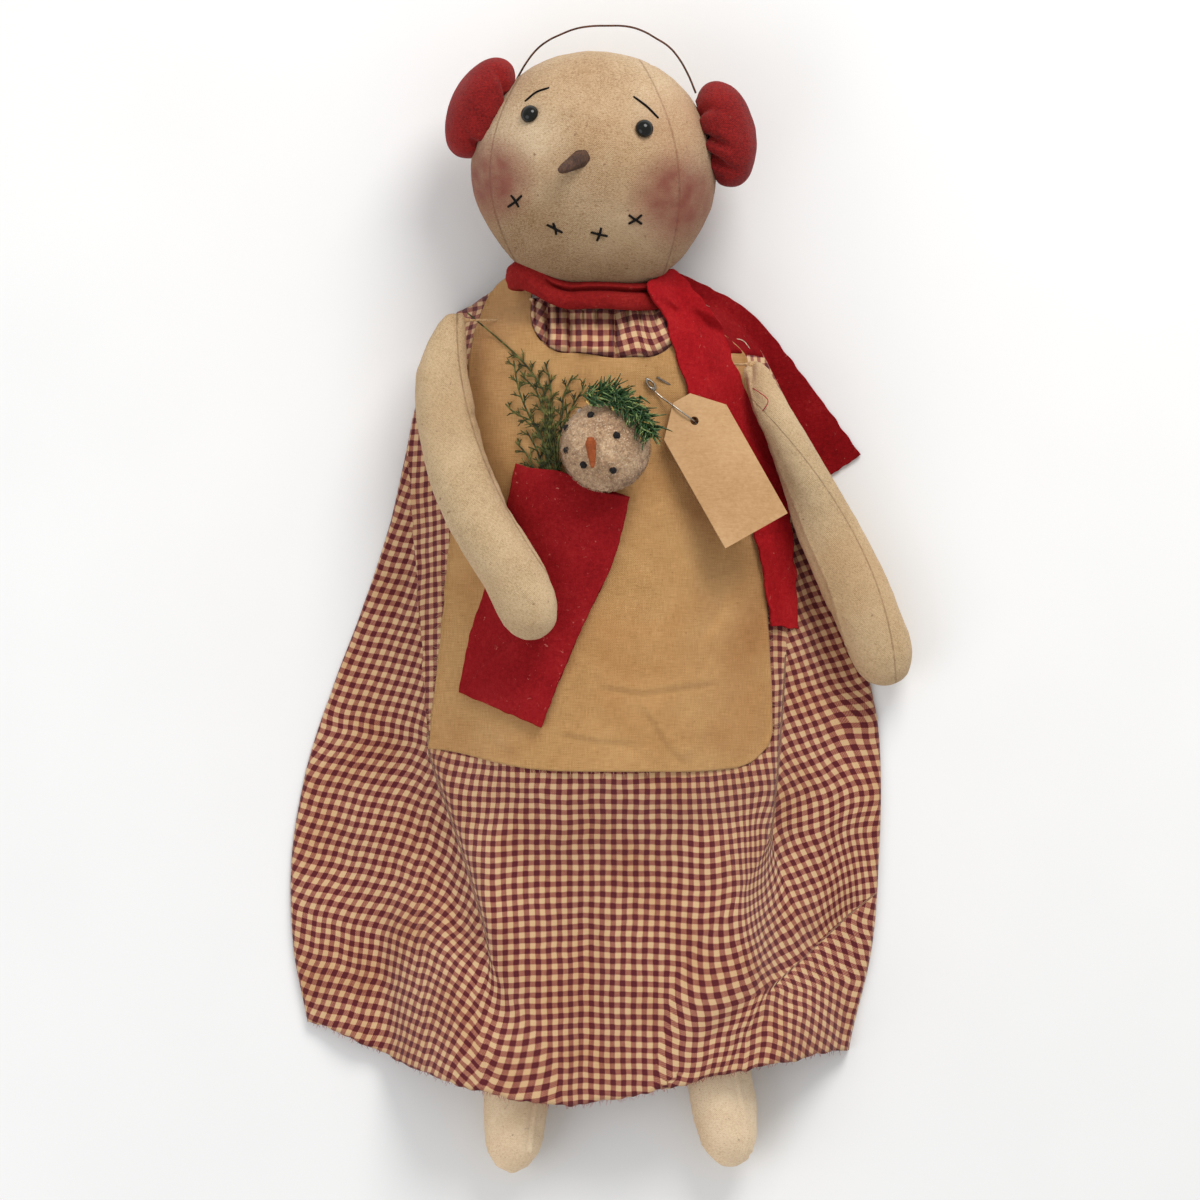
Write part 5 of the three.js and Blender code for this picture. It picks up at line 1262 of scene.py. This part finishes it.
cut = ballCut["nose"]
start = Vector(pointOn(ballHeights, *cut["root"]))
aim = (Vector(cut["tipAt"]) - start).normalized()
place(formed("felt_cone_nose", bpy.ops.mesh.primitive_cone_add, carrotForm, start + cut["out"] * aim, aim, 60, 4,
             vertices=20, radius1=cut["base"] * mm, radius2=cut["tip"] * mm, depth=cut["length"] * mm),
      "torso", orangeCloth, "orange_felt", "snow_ball_nose")


def makeCrown(name, count, seed, size, thick):
    # short tinsel strips set on both sides of a bent wire
    dice = np.random.default_rng(seed)
    arc = throughPoints(ballCut["crown"])
    lines = []
    for _ in range(count):
        share = dice.uniform(0, 1)
        spot, ahead = arc(share), arc(min(share + 0.02, 1.0)) - arc(max(share - 0.02, 0.0))
        along = np.array([*ahead, 0]) / np.linalg.norm(ahead)
        side = np.array([-along[1], along[0], 0]) * dice.choice([-1, 1])
        lean = math.radians(dice.uniform(15, 72))
        direction = along * math.cos(lean) + side * math.sin(lean) + np.array([0, 0, dice.uniform(-0.1, 0.8)])
        direction /= np.linalg.norm(direction)
        inward = 5 * np.hypot(spot[0] - 3, spot[1] - 83) / 30
        root = np.array([spot[0] + dice.normal(0, ballCut["spread"]), spot[1] + dice.normal(0, ballCut["spread"]),
                         ballCut["crownTop"] - inward + dice.uniform(-1, 2)])
        length = size * dice.uniform(0.55, 1.1)
        curl = dice.normal(0, 0.1, 3) * length
        lines.append([root + direction * length * t + curl * t * t for t in np.linspace(-0.1, 1, 4)])
    return strands(name, lines, thick, 3, 0.3)


place(makeCrown("pine_crown_tinsel", 300, 95, 8.0, 0.8), "torso", tinselGreen, "tinsel", "pine_crown")
# pale strips among the green: lighter tips and painted highlights
place(makeCrown("pine_crown_pale", 130, 98, 8.0, 0.6), "torso", tinselPale, "tinsel")
place(makeCrown("pine_crown_gold", 26, 96, 6.0, 0.5), "torso", tinselGold, "tinsel")


print("evergreen sprig")
sprigCut = {
    "stems": [[(-25, 60), (-27, 76), (-28, 106), (-37.5, 124), (-51, 138), (-72, 156)],
              [(-26, 60), (-28.7, 81), (-37.4, 97.7), (-44, 113.8), (-46.8, 129.8)],
              [(-27, 60), (-30, 82), (-35.3, 95.6), (-45.4, 100.7), (-51.2, 106.4)],
              [(-25, 60), (-27.9, 84.7), (-26.1, 99.2), (-27.2, 118.9), (-30.1, 129)],
              [(-23, 64), (-25, 88.3), (-20.6, 99.3), (-19.9, 110), (-14.8, 121.7)],
              [(-22, 64), (-23, 84), (-19.2, 96.3), (-14.1, 106.4), (-7.6, 116.7)],
              [(-33, 60), (-38, 76), (-46, 86)], [(-30, 60), (-33, 78), (-40, 92)], [(-22, 62), (-25, 78), (-30, 96)],
              [(-27, 90), (-34, 112), (-43, 122)]],
    "stem": 0.72, "branch": 0.5, "needle": 0.4, "spacing": 4.0, "reach": 6.5, "bare": 0.7,
}
sprigUnder = relief(nodes["sprig"], apron, bpy.data.objects["pocket_back_felt"])
dice = np.random.default_rng(97)
stems, branches, needles = [], [], []
for number, plan in enumerate(sprigCut["stems"]):
    flat = throughPoints(plan, 18)
    z = filled(sprigUnder(flat[None, :, 0], flat[None, :, 1]))
    line = np.column_stack([flat, np.maximum(softened(z, 6), z)[0] + 1.3 + 0.5 * (number % 3)])
    stems.append(line)
    count = int(np.linalg.norm(np.diff(line, axis=0), axis=1).sum() / sprigCut["spacing"])
    for k in range(2, count):
        share = k / count
        if number == 0 and share > sprigCut["bare"]:
            continue
        i = min(int(share * 17), 16)
        forward = line[i + 1] - line[i]
        base = line[i] + forward * (share * 17 - i)
        forward = forward / np.linalg.norm(forward)
        side = np.array([-forward[1], forward[0], 0]) * (1 if k % 2 else -1)
        reach = sprigCut["reach"] * (1.1 - 0.45 * share) * dice.uniform(0.7, 1.15)
        aim = forward + side * dice.uniform(0.55, 1.0) + np.array([0, 0, dice.uniform(-0.02, 0.3)])
        aim /= np.linalg.norm(aim)
        bend = dice.normal(0, 0.12, 3)
        branches.append([base + aim * reach * s + bend * reach * s * s for s in np.linspace(0, 1, 4)])
        for fork, hand in ((0.4, -1), (0.4, 1), (0.75, -1), (0.75, 1)):
            if dice.uniform() < 0.35:
                continue
            turned = aim * 0.85 + hand * dice.uniform(0.35, 0.6) * np.cross([0, 0, 1], aim)
            needles.append([base + aim * reach * fork + turned * dice.uniform(2.0, 3.8) * s
                            for s in np.linspace(0, 1, 3)])
sprig = joined("evergreen_sprig", [strands("sprig_stems", stems, sprigCut["stem"], 6, 0.6),
                                   strands("sprig_branches", branches, sprigCut["branch"], 4, 0.6),
                                   strands("sprig_needles", needles, sprigCut["needle"], 4, 0.5)])
place(sprig, "torso", sprigFinish, "evergreen", "sprig")


print("pin, tag and shoulder threads")
tagCut = {"hole": (51.1, 97.1), "clear": 5.0, "slide": (-2.1, 3.6)}
capCut = {"centre": (27.4, 117.0, 70.9), "ring": 2.2, "band": 0.9, "shape": (1.4, 0.66, 1.1), "taper": 0.12,
          "turn": -51}
# start, length, and where the coil is loose and where it is wound
coilCuts = {"left": ((-81, 152, 38), 26, (-76, -68)), "right": ((85.2, 128, 38), -15, (82, 78))}
coilShape = {"pitch": 0.8, "radius": 1.5, "thread": 0.5}
for slot in nodes["pin_wire"].material_slots:
    slot.material = pinSteel

# the frame's tag, its card slid up a little round the hole; the rim of the hole stays
tag = frameCopy("kraft_tag", "tag")
points = read(tag)
x, y = points.T[:2]
far = np.hypot(x - tagCut["hole"][0], y - tagCut["hole"][1]) > tagCut["clear"]
far &= ~((x > 55) & (x < 58) & (y > 96))
points[far, :2] += np.array(tagCut["slide"])
moveTo(tag, points)
place(finished(tag, 30), "tag", card, "kraft_card", "tag")


def capForm(points):
    # the pin's sheet-metal head: a flattened ring drawn into an oval
    points = points * capCut["shape"]
    points[:, 1] *= 1 + capCut["taper"] * points[:, 0] / capCut["ring"]
    points[:, :2] = turnedUv(points[:, :2], (0, 0), capCut["turn"])
    return points


cap = formed("pin_cap_steel", bpy.ops.mesh.primitive_torus_add, capForm, capCut["centre"],
             major_radius=capCut["ring"] * mm, minor_radius=capCut["band"] * mm, major_segments=48, minor_segments=16)
place(cap, "torso", pinSteel, "steel", "pin_cap")

for side, (start, length, loose) in coilCuts.items():
    # thread wound along x, its inner end loose and straight
    turns = int(abs(length) / coilShape["pitch"])
    shares = np.linspace(0, 1, turns * 8)
    along = start[0] + length * shares
    wound = coilShape["radius"] * (0.1 + 0.9 * smoothStep(loose[1], loose[0], along))
    turn = fullTurn * turns * shares
    line = np.column_stack([along, start[1] + wound * np.cos(turn), start[2] + wound * np.sin(turn)])
    place(strands(f"{side}_shoulder_thread", [line], coilShape["thread"], 5, 1.0), f"{side}_shoulder", tanThread,
          "stitch_thread", f"{side}_shoulder_stitch")

armHeights = relief(limbs["right_arm"], dress, frontTail)
for name, points, lift, body, thread in (
        ("pale_loop_thread", [(71, 142), (78, 141), (83, 134)], 2.4, "torso", whiteThread),
        ("red_loop_thread", [(83, 115), (91, 108.6), (88.3, 102.6)], 3.0, "right_arm", redThread)):
    line = throughPoints(points, 9)
    z = filled(armHeights(line[None, :, 0], line[None, :, 1]))[0] + lift * np.sin(math.pi * np.linspace(0, 1, 9))
    place(wire(name, np.column_stack([line, z]), 0.28, 2), body, thread, "stitch_thread")


print("frayed edges")
# loose threads at the raw edges: which way they point
outwards = {"left": (-1.0, -0.2, 0.0), "hem": (0.0, -1.0, 0.0), "right": (1.0, -0.2, 0.0)}
# for each edge: the share of the threads up to it, and where along it they start
frayCuts = {
    "apron": {"count": 260, "seed": 101, "longest": 4.0, "inside": 1.5, "sunk": 0.0, "low": 30.0,
              "edges": [(0.5, "left", -80, 60), (0.85, "hem", 0, 1), (1.1, "right", -76, 30)]},
    "hem": {"count": 420, "seed": 103, "longest": 3.2, "inside": 2.5, "sunk": 0.8, "low": 3.0,
            "edges": [(1.1, "hem", 0.01, 0.99)]},
}


def makeFray(name, piece, pieceCut):
    cut = frayCuts[name]
    dice = np.random.default_rng(cut["seed"])
    heights = relief(piece)
    left, right, hem, _ = cutEdges(pieceCut)
    lines = []
    for _ in range(cut["count"]):
        choice = dice.uniform() if len(cut["edges"]) > 1 else 0
        edge, first, last = next(rest for limit, *rest in cut["edges"] if choice < limit)
        along = dice.uniform(first, last)
        y = float(hem(along)) if edge == "hem" else along
        across = {"left": 0, "hem": along, "right": 1}[edge]
        x = float(left(y) + (right(y) - left(y)) * across)
        outward = np.array(outwards[edge])
        z = heights([x - outward[0] * cut["inside"]], [y - outward[1] * cut["inside"]])[0]
        point = np.array([x, y, (cut["low"] if np.isnan(z) else z) - 0.4]) - outward * cut["sunk"]
        length = cut["longest"] * dice.uniform(0.25, 1) ** 1.6
        side = np.array([-outward[1], outward[0], 0]) * dice.normal(0, 0.35)
        drop = np.array([0, 0, dice.normal(0, 0.12)])
        lines.append([point + (outward + drop) * length * t + side * length * t * t for t in np.linspace(0, 1, 5)])
    return strands(f"{name}_fray", lines, 0.13, 3, 0.4)


place(makeFray("apron", apron, apronCut), "torso", tanThread, "apron_cotton")
place(makeFray("hem", dress, dressCut), "lap", redThread, "check_cotton")
